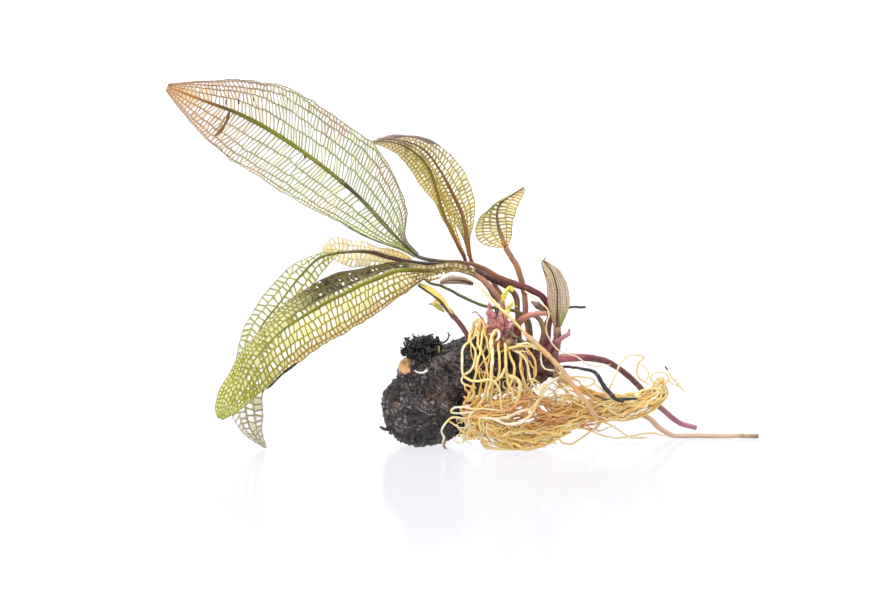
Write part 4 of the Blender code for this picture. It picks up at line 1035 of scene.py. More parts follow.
def stalk_piece(name, stalk, seed):
    """A stalk: a round tube that swells a little, with ribs along it, and the twigs and scraps on it."""
    route, at = stalk_route(stalk["path"], seed)
    radii = evenly(stalk["diameters"], at) / 2
    radii = radii * (1 + 0.07 * wave(at, seed + 7, waves=9, longest=0.5))
    shape = Shape()
    turn = angles(STALK_SIDES)
    ribs = 1 + 0.07 * np.cos(turn * 5 + seed)[None, :] * (1 + 0.5 * wave(at, seed + 3)[:, None])
    streak = (0.5 + 0.5 * np.cos(turn * 5 + seed + 1.2))[None, :] * (0.5 + 0.5 * wave(at, seed + 5)[:, None])
    add_rings(shape, rings(route, radii[:, None] * ribs), along=at, streak=streak, scrap=0.0)
    for number, (path, widths, scrap) in enumerate(stalk.get("twigs", ())):
        route = smooth_path(path, 24)
        at = np.linspace(0, 1, 24)
        radii = evenly(widths, at) / 2
        lumps = 1 + 0.22 * np.cos(turn * 3 + number)[None, :] * wave(at, seed + number, longest=0.5)[:, None]
        add_rings(shape, rings(route, radii[:, None] * lumps), along=0.2, streak=0.3, scrap=scrap)
    return dress(shape.build(name, stalk_finish(name, stalk["colours"])), stalk["slot"], stalk["node"])


# Sheaths: a body that is ragged at its mouth, and the young shoots that some carry, as route and diameters
SHEATHS = {}
SHEATHS["left_sheath"] = dict(
    node="sheath_left", seed=301, diameters=[0.8, 3, 4.4, 4.4, 3.4],
    path=[(20.6, -9.2, 51.2), (20.8, -8.6, 48), (21.3, -7.8, 44.5), (21.6, -6, 40), (20.5, -2.5, 33)])
SHEATHS["middle_sheath"] = dict(
    node="sheath_middle", seed=307, diameters=[1.8, 3.4, 4, 3.6, 2.8],
    path=[(24.8, -9, 48.5), (24.9, -8.8, 46), (24.8, -7.6, 42.5), (24.4, -5.6, 38.5), (24, -2.5, 33)],
    shoots=[([(24.7, -8.6, 47), (24.8, -9.2, 49.6), (25.2, -9.6, 52.2), (26.4, -9.5, 55.3),
        (27.4, -9.3, 56.6), (29, -9.2, 55.7)], [1.6, 1.3, 1.4, 1.9, 1.5, 1.7])])
SHEATHS["right_sheath"] = dict(
    node="sheath_right", seed=311, diameters=[1.6, 2.9, 3.5, 3.2, 2.8],
    path=[(29.6, -9.6, 44.8), (28.2, -9.2, 44), (27.2, -7.8, 41.5), (26.8, -5.6, 38.5), (27, -2.5, 33)],
    shoots=[([(26.8, -9.2, 43.5), (26.3, -10.2, 46.4), (26.6, -10.9, 48.4), (27.6, -10.9, 50.6),
        (29, -10.6, 52.1)], [1.4, 1.3, 1.9, 1.6, 0.7]), ([(27, -11, 50.2), (28.6, -11, 50.6),
        (30.4, -10.8, 50.2)], [1.3, 0.9, 0.4])])
SHEATH_SIDES = 20


def add_sheath(shape, sheath):
    """A sheath: a lumpy tube with folds along it, which end in a few ragged points."""
    route = smooth_path(sheath["path"], 60)
    at = np.linspace(0, 1, len(route))
    radii = evenly(sheath["diameters"], at) / 2
    turn = angles(SHEATH_SIDES)
    seed = sheath["seed"]
    folds = 0.14 * np.cos(3 * turn + seed)[None, :] + 0.08 * np.cos(7 * turn + 2 * seed)[None, :]
    folds = 1 + folds * (1.1 - 0.6 * at)[:, None] + 0.1 * wave(at, seed, waves=8, longest=0.4)[:, None]
    places = rings(route, radii[:, None] * folds)
    lumps = field(places.reshape(-1, 3), 2.4, seed) * 0.9 + field(places.reshape(-1, 3), 1.0, seed + 1) * 0.3
    out = unit(places - route[:, None, :])
    along = unit(np.gradient(route, axis=0))
    points = 0.55 * np.cos(3 * turn + seed)[None, :] * np.clip(1 - at * 5, 0, 1)[:, None]
    grown = places + out * (lumps.reshape(places.shape[:2]) * np.clip(at * 6, 0, 1)[:, None])[..., None]
    # 0 in the creases of the folds and 1 on their ridges, for the painted shade in the creases.
    fold_shade_mark = np.repeat((0.5 + 0.5 * np.cos(3 * turn + seed))[None, :], len(route), axis=0)
    add_rings(shape, grown - along[:, None, :] * points[..., None], young=0.0, along=at, fold=fold_shade_mark)


def sheath_piece(name, sheath, finish):
    """A sheath with its shoots, if it has any."""
    shape = Shape()
    add_sheath(shape, sheath)
    for path, widths in sheath.get("shoots", ()):
        route = smooth_path(path, 30)
        at = np.linspace(0, 1, len(route))
        radii = evenly(widths, at) / 2
        add_tube(shape, route, radii * (1 + 0.25 * wave(at, 5, waves=8, longest=0.4)), sides=10, squash=0.6,
                 young=np.clip(6 * at - 2, 0, 1), along=0.3, fold=0.5)
    return dress(shape.build(name, finish), "sheath", sheath["node"])


def sheath_finish():
    """Sheath skin: mauve and pink blotches, painted shade in the creases of its folds, painted highlights,
    and yellow-green on the shoots.
    """
    finish = Finish("sheath_skin", 0.28, specular=0.6, coat=0.25)
    blotch = finish.noise(1.5, detail=5.0, warp=0.8)
    skin = finish.ramp(blotch, [(0.32, 132, 56, 66), (0.44, 176, 98, 98), (0.54, 206, 136, 128),
                                (0.68, 240, 200, 190)])
    shoot = finish.ramp(finish.noise(1.0), [(0.34, 188, 176, 40), (0.5, 222, 212, 62), (0.66, 246, 240, 140)])
    finish.colour(finish.layers(
        skin,
        # Painted shade in the creases of the folds.
        (finish.levels(finish.value("fold"), 0.0, 0.5, 0.4, 0.0), (110, 46, 60)),
        # Painted highlights: pale pink-white patches.
        (finish.patches(0.9, 0.6, 0.7, 0.7), (252, 228, 220)),
        (finish.levels(finish.value("along"), 0.5, 0.68, 0.0, 0.75), (206, 146, 104)),
        (finish.value("young"), shoot)))
    finish.bump(finish.noise(0.4, detail=4.0), 0.08, 0.7)
    return finish.material


# Roots. Each strand has a diameter, a tone from 0, cream, over 0.5, ochre, to 1, brown, and a route.
ROOTS = {}
ROOTS["hanging_roots"] = dict(node="roots_hanging", strands=[
    (0.9, 0.14, [(14.5, -5, 39), (14, -9, 42), (13.5, -13, 38.5), (11.5, -15.5, 36.5), (11, -18.5, 31),
        (11.5, -19, 27.5), (13.5, -19.5, 26), (16.5, -20, 25.5), (20.5, -20.5, 26), (22.5, -20.5, 25),
        (24, -19.5, 22), (24.5, -18, 18), (25, -16.5, 13.5)]),
    (0.8, 0.18, [(17, -4.5, 39.5), (16.5, -8.5, 43), (15, -12.5, 39.5), (14, -13.5, 38.5), (15.5, -16, 36),
        (15.5, -17.5, 32.5), (14, -18.5, 29), (12, -18.5, 27.5), (11, -18.5, 26), (11.5, -18.5, 24.5),
        (14, -18.5, 23.5), (15.5, -17.5, 20.5)]),
    (0.9, 0.26, [(18, -4.5, 39.5), (17.5, -8.5, 43), (16.5, -12.5, 39.5), (16.5, -14.5, 37.5),
        (17.5, -17, 35.5), (16.5, -18, 32.5), (16, -18.5, 28.5), (15, -18, 24.5), (15, -17, 20.5),
        (13, -16, 17.5)]),
    (0.8, 0.3, [(19, -4.5, 39.5), (18.5, -8.5, 42.5), (18, -13, 39.5), (17.5, -15.5, 37),
        (18.5, -17.5, 33.5), (19.5, -19, 30.5), (20, -19.5, 27), (19, -18.5, 22), (17.5, -16.5, 17)]),
    (1.3, 0.16, [(23.5, -6, 39.5), (23, -10, 42), (21.5, -13, 40.5), (21, -15.5, 38), (21.5, -18, 35.5),
        (21.5, -20, 32.5), (21, -20.5, 29), (21, -20, 25), (20, -18.5, 22), (20, -16.5, 18)]),
    (1, 0.06, [(23.5, -6, 39.5), (23, -10, 42), (24, -12.5, 41), (23.5, -14, 39.5), (22.5, -14, 38.5)]),
    (0.9, 0.34, [(24, -11.5, 38.5), (23.5, -15, 37), (24, -18, 33), (24, -19, 30), (23.5, -19, 27),
        (21.5, -18.5, 23.5), (21, -16.5, 18.5)]),
    (1, 0.24, [(26, -11, 38.5), (26, -16.5, 34.5), (26, -18.5, 30.5), (24.5, -19, 27), (22.5, -19.5, 25.5),
        (20, -19, 24.5)]),
    (1.1, 0.22, [(26.5, -11, 38), (26, -15.5, 33), (26.5, -17, 27.5), (27, -17, 24), (28.5, -16.5, 21.5),
        (28.5, -15.5, 18.5), (28, -14.5, 15.5)]),
    (1, 0.32, [(27, -11, 37), (27.5, -14.5, 33.5), (29, -16.5, 30.5), (29, -17, 27.5), (28, -17, 24.5),
        (27, -16.5, 21.5), (26.5, -15.5, 18)]),
    (1.4, 0.2, [(26, -14, 29), (27, -16.5, 27), (30, -17.5, 26), (31, -17.5, 24), (30.5, -16.5, 20),
        (29.5, -15, 16.5), (28, -14.5, 14.5)]),
    (0.9, 0.3, [(31, -10.5, 36.5), (31.5, -13.5, 33), (31, -15, 30), (32, -15.5, 26.5), (33, -15, 23.5),
        (32.5, -14, 19.5)]),
    (0.9, 0.12, [(28, -12, 35.5), (31, -14.5, 34.5), (33, -15.5, 32.5), (34, -15.5, 29), (35, -15, 24.5),
        (37.5, -14, 21.5)]),
    (0.9, 0.1, [(28, -12, 37), (31, -13.5, 37.5), (34, -14.5, 38), (36, -14, 36.5)]),
    (0.5, 0.2, [(28.5, -12.5, 35.5), (30.5, -14, 35), (33.5, -14.5, 35), (34.5, -13.5, 33.5)]),
    (0.8, 0.4, [(33.5, -13, 36), (35.5, -14, 33.5), (36.5, -14, 31), (36.5, -13.5, 27), (35.5, -13, 24.5),
        (34, -13, 20.5)]),
    (0.7, 0.06, [(38.5, -9, 34), (38.5, -11, 31.5), (39, -12, 29.5), (40.5, -12.5, 28.5), (43.5, -12, 28)]),
    (1.1, 0.12, [(45, -7, 25), (42, -9.5, 24), (39, -12, 21.5), (37.5, -13.5, 18), (35, -15, 15.5),
        (31, -16.5, 14.5), (26, -17.5, 12.5), (21.5, -17.5, 12)]),
    (1.1, 0.08, [(43.5, -7.5, 24.5), (40.5, -11, 22), (37.5, -13.5, 17.5), (35.5, -15, 14),
        (33.5, -16.5, 12), (30.5, -17.5, 10.5), (26, -18, 10.5), (22.5, -18, 12), (16.5, -17, 12.5)]),
    (0.8, 0.06, [(14, -16.5, 16.5), (11, -17, 16), (8.5, -17.5, 16), (7, -17.5, 14.5), (8.5, -17.5, 14),
        (11.5, -17, 14), (14.5, -16.5, 14.5)]),
    (0.8, 0.1, [(14, -16, 12), (11.5, -16.5, 12), (7.5, -17, 12.5), (5.5, -17, 10.5), (4, -16.5, 8),
        (5, -15, 5), (4.5, -13.5, 2.5), (6, -12.5, 0.5)]),
    (0.9, 0.88, [(4.7, -14.3, 3.6), (4.6, -13.5, 2.3), (5.9, -12.6, 0.6)]),
    (0.7, 0.22, [(6, -16.5, 11.5), (8.5, -16.5, 10), (11, -16, 7.5), (13, -15, 6), (15.5, -14, 6)]),
    (0.6, 0.12, [(12, -16, 12), (12.5, -15.5, 9), (11.5, -14.5, 6.5), (11.5, -13, 3)]),
    (0.7, 0.5, [(12.5, -16, 14), (15, -16, 10), (17, -15, 7.5)]),
    (0.9, 0.14, [(18, -16.5, 11), (18.5, -15.5, 8), (18, -13, 3.5), (19.5, -11.5, 1), (22, -11, 0.5)]),
    (0.8, 0.16, [(20, -16.5, 10.5), (22, -15, 7.5), (24, -13, 4), (26, -11, 0.5)]),
    (0.7, 0.2, [(26, -16.5, 10), (28, -15.5, 8), (29, -13, 4), (29, -10.5, 0.5)]),
    (0.6, 0.1, [(19.5, -16.5, 10), (20, -14.5, 6), (22.5, -12, 2), (25.5, -11, 0.5)]),
    (1.1, 0.18, [(19, -11.5, 1.5), (23.5, -11.5, 0.6), (29.5, -11, 0.6), (34.5, -10, 2), (40.5, -7.5, 3.5),
        (45.5, -5, 4.5)]),
    (0.6, 0.95, [(30, -11, 2), (33.5, -10.5, 5), (37.5, -9, 7), (40.5, -7, 8.5)]),
    (0.8, 0.12, [(10.5, -16, 16), (14.5, -17, 15.5), (20, -17.5, 15.5), (26, -16.5, 14.5)]),
    (1.2, 1, [(26.5, -10, 42.4), (28.5, -12, 40.8), (31, -12.5, 39), (34.5, -12, 36.8)]),
    (2, 0.97, [(24.6, -11.2, 39.4), (27, -12.3, 38.3), (30, -12.5, 37.2), (34, -11.5, 36.6)]),
    (1, 0.36, [(15, -5, 39), (15.3, -7, 43.5), (16, -9, 45.2), (17, -10, 44), (17.2, -11, 41.5)]),
    (0.9, 0.5, [(17.5, -5, 39), (18.2, -7.5, 44), (18.2, -9.2, 46), (17.2, -10.4, 44.6), (16.6, -11.3, 42)]),
    (0.8, 0.3, [(16, -6, 40), (15.6, -8.6, 44.6), (17, -9.8, 46), (18.6, -10.4, 44), (18.6, -11.6, 41)]),
    (1, 0.55, [(19.5, -5, 39.5), (20, -7.5, 42.7), (19.6, -9.5, 43.4), (19, -11, 40.5)]),
    (0.45, 1, [(20, -9, 42), (18.5, -9.6, 45), (17, -10, 47.3), (15.4, -10, 48.6), (14.4, -10, 47.6)])])
ROOTS["trailing_roots"] = dict(node="roots_trailing", strands=[
    (0.6, 0.28, [(43, -4, 28.5), (46.5, -6, 25), (53, -4.5, 25), (57.5, -3.5, 23.5), (57.5, -3.5, 22.5),
        (55, -4, 21.5), (51, -5, 21.5), (48.5, -6, 22.5)]),
    (0.9, 0.92, [(42, -5, 27.5), (47.5, -6.5, 23.5), (52, -4.5, 20), (57.5, -2.5, 18), (63, -0.5, 16),
        (69.5, 1, 16.5), (73, 2.5, 16)]),
    (1.2, 0.36, [(44, -5, 25), (49, -5.5, 22), (53, -4, 19.5), (58.5, -2, 16.5), (65, 0, 13.5),
        (70.5, 2, 14.5), (75, 4, 16), (80, 5, 17), (83, 5.5, 19.5), (82, 5.5, 21.5), (80, 5, 23)]),
    (1, 0.42, [(44, -6, 24), (49.5, -4, 17.5), (56, -1.5, 11.5), (61.5, 0, 9.5), (68, 1.5, 8.5),
        (73.5, 3, 9.5), (78, 4, 11.5), (82.5, 5, 15), (84, 5.5, 18), (83, 5.5, 21)]),
    (0.8, 0.3, [(74, 3, 14), (78, 4.5, 15), (79, 5, 18.5), (80.5, 5.5, 20.5), (82.5, 5.5, 22.5)]),
    (0.7, 0.14, [(76.5, 4.5, 16), (78.5, 5.5, 19.5), (80.5, 6, 23), (82.5, 6, 23), (83, 6, 20.5)]),
    (0.55, 0.1, [(33, -4, 55), (34.5, -7.5, 53.8), (37.6, -8, 52), (40.9, -8.8, 49), (41.3, -9, 46.7),
        (40.7, -9, 45), (40.2, -8.8, 41.9), (41.4, -8.8, 38.8), (43.5, -9, 35.8), (47, -8.8, 33.8),
        (51, -7, 32.3), (54.5, -5, 29.5), (58.5, -3.5, 28.5), (63.5, -2, 29)]),
    (0.7, 0.16, [(62.5, -1, 19), (65, 0, 24.5), (67, 1.5, 29), (69.5, 2.5, 31.5), (73, 3.5, 31.5),
        (75.5, 4, 30.5), (73.5, 4, 28.5), (73, 4, 26), (73.5, 4, 23.5), (75.5, 4.5, 22), (78, 5, 20.5)]),
    (0.55, 0.12, [(73.5, 4, 28.5), (76.5, 4.5, 26.5), (77, 5, 23.5), (75.5, 5, 21.5)]),
    (0.5, 0.12, [(80.5, 6, 20.5), (82, 6.5, 21.8), (84.5, 7.5, 21.6), (86.5, 8, 20.4), (89, 8.5, 19.6)]),
    (0.5, 0.22, [(84, 7, 25.8), (85.6, 7.5, 23.2), (88.1, 8, 20.1), (90.6, 8.5, 17.2)]),
    (0.6, 1, [(83.2, 7, 27), (83.7, 7, 26.2), (84.2, 7, 25.4)]),
    (0.4, 0.3, [(86, 8, 22), (87.2, 8, 22.4)]),
    (0.4, 0.3, [(87.4, 8.2, 20.4), (88.8, 8.2, 20.9)]),
    (0.7, 0.2, [(44.5, -6.5, 4.5), (46, -6, 2), (49.5, -4, 1), (52.5, -1, 2), (55.5, 1, 4), (60, 1, 7.5)]),
    (0.7, 0.14, [(51, -2, 6.5), (56, 2, 5), (62.5, 6.5, 2), (68.5, 9.5, 1), (74, 10.5, 2), (79.5, 11, 2.5),
        (85.5, 11.5, 0.5)]),
    (0.6, 0.2, [(60, 1, 8.5), (65.5, 4, 5.5), (71, 8.5, 1.5), (78, 12, 0.5)]),
    (0.9, 0.06, [(57.5, -5, 22.5), (59.5, -5.5, 21), (61.5, -4, 19), (62.5, -3, 17)])])
ROOTS["long_root"] = dict(node="root_long", strands=[
    (0.75, 0.02, [(0.7, -8, 59.9), (5.4, -9, 60.9), (9.2, -9.5, 61.1), (13.3, -10, 60), (17.5, -10.8, 56.8),
        (21, -11.7, 52.6), (25, -13.5, 49)]),
    (1, 0.2, [(17.5, -10.6, 56.8), (21, -11.5, 53.3), (25, -13.5, 49.3), (29, -14, 45.5), (34, -14, 40),
        (37, -13.8, 37)]),
    (2, 0.78, [(32.5, -14, 41.5), (34, -14, 40), (41, -13, 33.5), (45.5, -12.5, 28.5), (50.5, -10.5, 21.5),
        (54.5, -9, 16.5), (56.8, -6.5, 12.5), (58.5, -2, 11), (60, 2.5, 10.5)]),
    (1.1, 0.3, [(24.5, -12, 34.6), (27.5, -13.4, 36), (31, -13.9, 36.8), (35, -14, 36.8),
        (38.5, -13.6, 35.2)]),
    (0.7, 0.4, [(35, -14.4, 39.5), (38, -14.3, 36.5), (43, -13.5, 31.5), (47, -12.7, 27)])])

# Tangles of roots: the zones that each root passes through, each zone as the three parts of its middle
# and the three of its reach, then how many roots there are, their least and greatest diameter, their
# least and greatest tone, and how far they wander on their way.
ROOT_TANGLES = {}
ROOT_TANGLES["hanging_roots"] = [
    # The first tangle, the back layer of hanging roots, gets a darker, golden tone as painted shade.
    ([(21, -5, 38.5, 6, 1, 1), (21.5, -11.5, 40.5, 6, 1, 1.2), (22, -16, 33, 8, 1.5, 3),
        (22, -17, 25, 8.5, 1.5, 3), (21, -15.5, 17, 6.5, 1.5, 2)], 5, (0.4, 0.7), (0.3, 0.5), 0.9),
    ([(31, -8, 36, 3, 1, 1), (33, -12.5, 30, 4, 1, 3), (32, -14, 22, 5, 1.5, 3),
        (28, -14.5, 16, 5, 1.5, 1.5)], 4, (0.4, 0.7), (0.3, 0.5), 0.9),
    ([(14, -15.5, 14, 2.5, 1.5, 2.5), (22, -16, 15.5, 3, 1.5, 3), (29, -15, 17.5, 3, 1.5, 3),
        (35, -13, 18.5, 2.5, 1.5, 2.5)], 22, (0.5, 1.1), (0.4, 0.7), 1.5),
    ([(22, -14.5, 22, 9, 1.5, 3), (19, -14.5, 15, 7, 1.5, 1.5), (15.5, -14, 8.5, 3.5, 1.5, 2),
        (19, -12.5, 2.5, 5, 1.5, 1.8)], 16, (0.5, 1.1), (0.1, 0.6), 1.8),
    ([(15, -15, 12, 3, 1, 2), (20, -15, 8.5, 4, 1.5, 3), (29, -12.5, 5.5, 5, 1.5, 4),
        (39, -8, 5.5, 4.5, 1.5, 3), (49, -4, 8.5, 3, 1.5, 3)], 24, (0.5, 1.2), (0.08, 0.6), 1.7),
    ([(17, -12.5, 7, 3.5, 1, 4), (24, -11, 2, 4, 1, 1.4), (34, -10, 2.2, 5, 1, 1.6), (46, -5, 6.5, 3, 1, 2),
        (56, -1.5, 11, 3, 1, 2.5)], 12, (0.5, 1), (0.1, 0.5), 1.1),
    ([(24, -10.5, 9, 3, 1.5, 3.5), (35, -8, 8, 4, 1.5, 4), (46, -4.5, 11, 3, 1.5, 3.5),
        (56, -2, 12.5, 3, 1.5, 2.5)], 28, (0.5, 1.1), (0.36, 0.74), 1.5),
    ([(36, -11, 14, 3, 1, 3), (44, -7, 14, 3, 1, 3), (52, -4, 12.5, 3, 1, 2)], 10, (0.5, 0.9), (0.3, 0.75),
        1.1)]
ROOT_TANGLES["trailing_roots"] = [
    ([(49, -5, 13, 3, 1.5, 4), (58, -2, 12.5, 3, 1.5, 3.6), (67, 1, 13, 3, 1.5, 3.4),
        (75.5, 3.5, 15, 2.5, 1.5, 3), (82, 5, 18, 1.6, 1, 2.2)], 26, (0.5, 1), (0.08, 0.5), 1.6),
    ([(56, -2, 10.5, 4, 1.5, 2.5), (66, 1.5, 10.5, 4, 1.5, 2.5), (76, 4, 13, 3, 1.5, 2),
        (83, 5, 17.5, 1, 1, 1.5), (81.5, 5.5, 22, 1.5, 1, 1)], 10, (0.5, 0.9), (0.08, 0.45), 1),
    ([(43, -7, 24, 2, 1, 2), (50, -5, 20.5, 3, 1, 3), (60, -2, 17, 3, 1, 2), (70, 1.5, 15.5, 3, 1, 1.5)], 8,
        (0.5, 0.8), (0.2, 0.8), 0.8),
    ([(34, -2, 20, 4, 2, 4), (44, 3, 11, 4, 2, 4), (56, 4, 9, 4, 2, 4), (66, 5, 9.5, 3, 2, 3)], 14,
        (0.5, 0.9), (0.3, 0.75), 0.8)]
ROOT_TANGLES["long_root"] = []
# Curls of fine root: a middle, how far they are scattered, and how many
ROOT_CURLS = {
    "hanging_roots": [((13, -15.5, 8), (3.5, 1, 4), 16), ((26, -13.5, 8), (7, 2, 4), 14),
                      ((30, -15, 22), (5, 1.5, 6), 7)],
    "trailing_roots": [((44, -8, 17), (4, 1.5, 3), 16), ((64, 1, 13), (7, 2, 2), 16),
                       ((80.5, 5.5, 20), (1.5, 1, 2), 6)],
    "long_root": [],
}
STRAND_STEP = 0.85
STRAND_SIDES = 6


def add_strand(shape, route, diameter, tone, seed, wobble=0.3, sides=STRAND_SIDES):
    """One root: a tube that wanders a little, uneven in width, and lies on the table at lowest."""
    count = max(6, int(path_length(route) / STRAND_STEP))
    line = smooth_path(route, count)
    at = np.linspace(0, 1, count)
    length = path_length(line)
    for axis in range(3):
        line[:, axis] += wobble * 0.5 * wave(at, seed + axis, waves=4, longest=min(1.0, 18 / length))
    radii = diameter / 2 * (1 + 0.12 * wave(at, seed + 5, waves=8, longest=min(0.6, 6 / length)))
    radii = radii * np.clip(0.75 + 5 * at, 0, 1) * np.clip(0.35 + 6 * (1 - at), 0, 1)
    line[:, 2] = np.maximum(line[:, 2], radii)
    shades = np.clip(tone + 0.1 * wave(at, seed + 9, waves=6, longest=0.7), 0, 1)
    add_tube(shape, line, radii, sides=sides, tone=shades, along=at)


def add_tangle(shape, tangle, chance, thickness):
    """Many roots that run through the same zones, each on its own way and some for only part of it."""
    zones, count, diameters, tones, wobble = tangle
    for _ in range(count):
        own = chance.normal(0, 0.45, 3)
        route = np.array([zone[:3] + zone[3:] * np.clip(own + chance.normal(0, 0.55, 3), -1.2, 1.2)
                          for zone in np.array(zones)])
        if len(route) > 3 and chance.random() < 0.5:
            route = route[1:] if chance.random() < 0.5 else route[:-1]
        diameter = chance.uniform(*diameters) * thickness
        route[:, 2] = np.maximum(route[:, 2], diameter / 2)
        add_strand(shape, route, diameter, chance.uniform(*tones), int(chance.integers(9999)), wobble=wobble)


def add_curl(shape, middle, spread, chance, thickness):
    """A fine root that turns round on itself."""
    centre = np.array(middle) + chance.normal(0, 0.5, 3) * np.array(spread)
    turns = chance.uniform(0.5, 1.3)
    angle = chance.uniform(0, 2 * math.pi) + np.linspace(0, 2 * math.pi * turns, 9)
    size = chance.uniform(0.8, 2.4)
    tilt = chance.normal(0, 0.35, 3)
    up, right = np.sin(angle) * size, np.cos(angle) * size * 1.4
    route = np.stack([right, np.sin(angle) * tilt[0] * size, up], axis=1)
    route += np.linspace(0, 1, 9)[:, None] * chance.normal(0, 2.2, 3) * np.array([1, 0.5, 0.6]) + centre
    route[:, 2] = np.maximum(route[:, 2], 0.3)
    add_strand(shape, route, chance.uniform(0.28, 0.5) * thickness, chance.uniform(0.05, 0.4),
               int(chance.integers(9999)), wobble=0.5, sides=5)


def root_piece(name, finish, thickness, seed):
    """A group of roots: the ones that show singly, then the tangles and the curls."""
    chance = np.random.default_rng(seed)
    shape = Shape()
    for number, (diameter, tone, route) in enumerate(ROOTS[name]["strands"]):
        add_strand(shape, route, diameter * thickness, tone, seed + 11 * number)
    for tangle in ROOT_TANGLES[name]:
        add_tangle(shape, tangle, chance, thickness)
    for middle, spread, count in ROOT_CURLS[name]:
        for _ in range(count):
            add_curl(shape, middle, spread, chance, thickness)
    return dress(shape.build(name, finish), "root", ROOTS[name]["node"])


def root_finish():
    """Root skin: cream over ochre and orange to brown, blotched, a little see-through."""
    finish = Finish("root_skin", 0.4, specular=0.45, coat=0.1)
    tone = finish.wavering(finish.value("tone"), 2.4, 0.36, detail=4.0)
    colour = finish.ramp(tone, [(0.0, 255, 248, 230), (0.16, 250, 229, 160), (0.34, 248, 214, 126),
                                (0.5, 250, 202, 120), (0.64, 240, 172, 106), (0.8, 232, 194, 148),
                                (1.0, 92, 74, 62)])
    finish.colour(finish.mix(finish.patches(0.7, 0.6, 0.7, 0.42), colour, (150, 104, 62)))
    finish.bump(finish.noise(0.35, detail=4.0), 0.05, 0.6)
    finish.glow_through(colour, 0.12)
    return finish.material


# Rhizome: the sizes of its relief, the zones with a look of their own, each as a middle and a reach, its
# tuft, and the routes of the few scraps on it and of a dark tube of painted shade in one crevice
RHIZOME_GRAIN = 0.42
KNOB_SIZE = 5.5
PEBBLE_SIZE = 2.7
CRUMB_SIZE = 1.1
GOLD_PATCH = dict(middle=(-10.4, -6.5, 30.2), reach=(5.1, 9, 5.3))
CROWN_ZONE = dict(middle=(42, -4, 31), reach=(14, 14, 14))
PINK_PATCH = dict(middle=(-11.4, -9, 15.4), reach=(2.3, 4, 3.2))
RED_ZONE = dict(middle=(4, -13, 19), reach=(7, 8, 6.5))
FIBRE_ZONE = dict(middle=(7, -8, 28), reach=(10, 12, 8))
SMOOTH_ZONE = dict(middle=(0, -13, 7), reach=(14, 9, 8))
TUFT = dict(middle=(-4, -4, 36.5), reach=(8.2, 8.5, 4), lumps=150, spikes=130)
TUFT_CURL = [(-1, -5, 36.5), (2, -5.5, 36.8), (4.5, -5.5, 37), (6, -5.5, 38), (6.6, -5.5, 39.6),
             (6.2, -5.5, 40.6)]
TUFT_FORK = [(6.4, -5.5, 39.4), (7.3, -5.5, 39.8)]
BARK_CHIPS = 150
BARK_THREADS = 620
BARK_SINK = 0.7
WHITE_ROOTLET = [(-1, -11.6, 28.2), (-1.8, -11.9, 27.6), (-2.8, -12, 27.3), (-4, -11.8, 27.4),
                 (-5.2, -11.2, 27.9)]
GREEN_SCRAP = [(3, -7.5, 33.6), (3.2, -8, 35), (3.1, -8, 36.2)]
SIDE_TAB = [(-14, -5, 6.5), (-15.8, -6, 6.6), (-17, -6, 7.2), (-17.4, -6, 7.6)]
# A dark tube in soot colour that lies in a crevice as painted shade.
PAINTED_CREVICE_SHADE = [(-6.2, -10.3, 29.6), (-6.4, -10.8, 28), (-6.2, -11, 26.8)]


def within(places, zone):
    """How far inside a zone each place is: 1 at its middle, 0 at its ragged edge and outside."""
    offset = (places - np.array(zone["middle"])) / np.array(zone["reach"])
    ragged = 0.28 * field(places, 2.2, 17) + 0.14 * field(places, 0.9, 19)
    return np.clip(1.6 * (1 - np.linalg.norm(offset, axis=1) + ragged), 0, 1)


def field(places, size, seed, stretch=(1, 1, 1)):
    """Smooth noise between -1 and 1 with features of about this size, long where stretch is under 1."""
    shift = Vector((seed * 3.1, seed * 1.7, seed * 0.9))
    scaled = places / size * np.array(stretch)
    return np.array([noise.noise(Vector(p) + shift) for p in scaled])


def pebbles(places, size, seed):
    """Rounded lumps with creases between them: 1 on a lump, 0 in a crease."""
    shift = Vector((seed * 2.3, seed * 1.1, seed * 0.7))
    heights = []
    for place in places / size:
        near, far = noise.voronoi(Vector(place) + shift)[0][:2]
        heights.append(min(1.0, (far - near) * 2.2))
    return np.array(heights)


def rhizome_body():
    """The rhizome's solid as an even mesh: its corners in millimetres, its faces and directions."""
    rough = add_object("rhizome_rough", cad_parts["rhizome"].data.copy())
    remesh = rough.modifiers.new("even", "REMESH")
    remesh.mode = "VOXEL"
    remesh.voxel_size = RHIZOME_GRAIN * MM
    soften = rough.modifiers.new("soften", "SMOOTH")
    soften.iterations = 8
    even = bpy.data.meshes.new_from_object(rough.evaluated_get(bpy.context.evaluated_depsgraph_get()))
    bpy.data.objects.remove(rough)
    corners = np.array([corner.co for corner in even.vertices]) / MM
    facing = np.array([corner.normal for corner in even.vertices])
    faces = [list(face.vertices) for face in even.polygons]
    bpy.data.meshes.remove(even)
    return corners, faces, facing


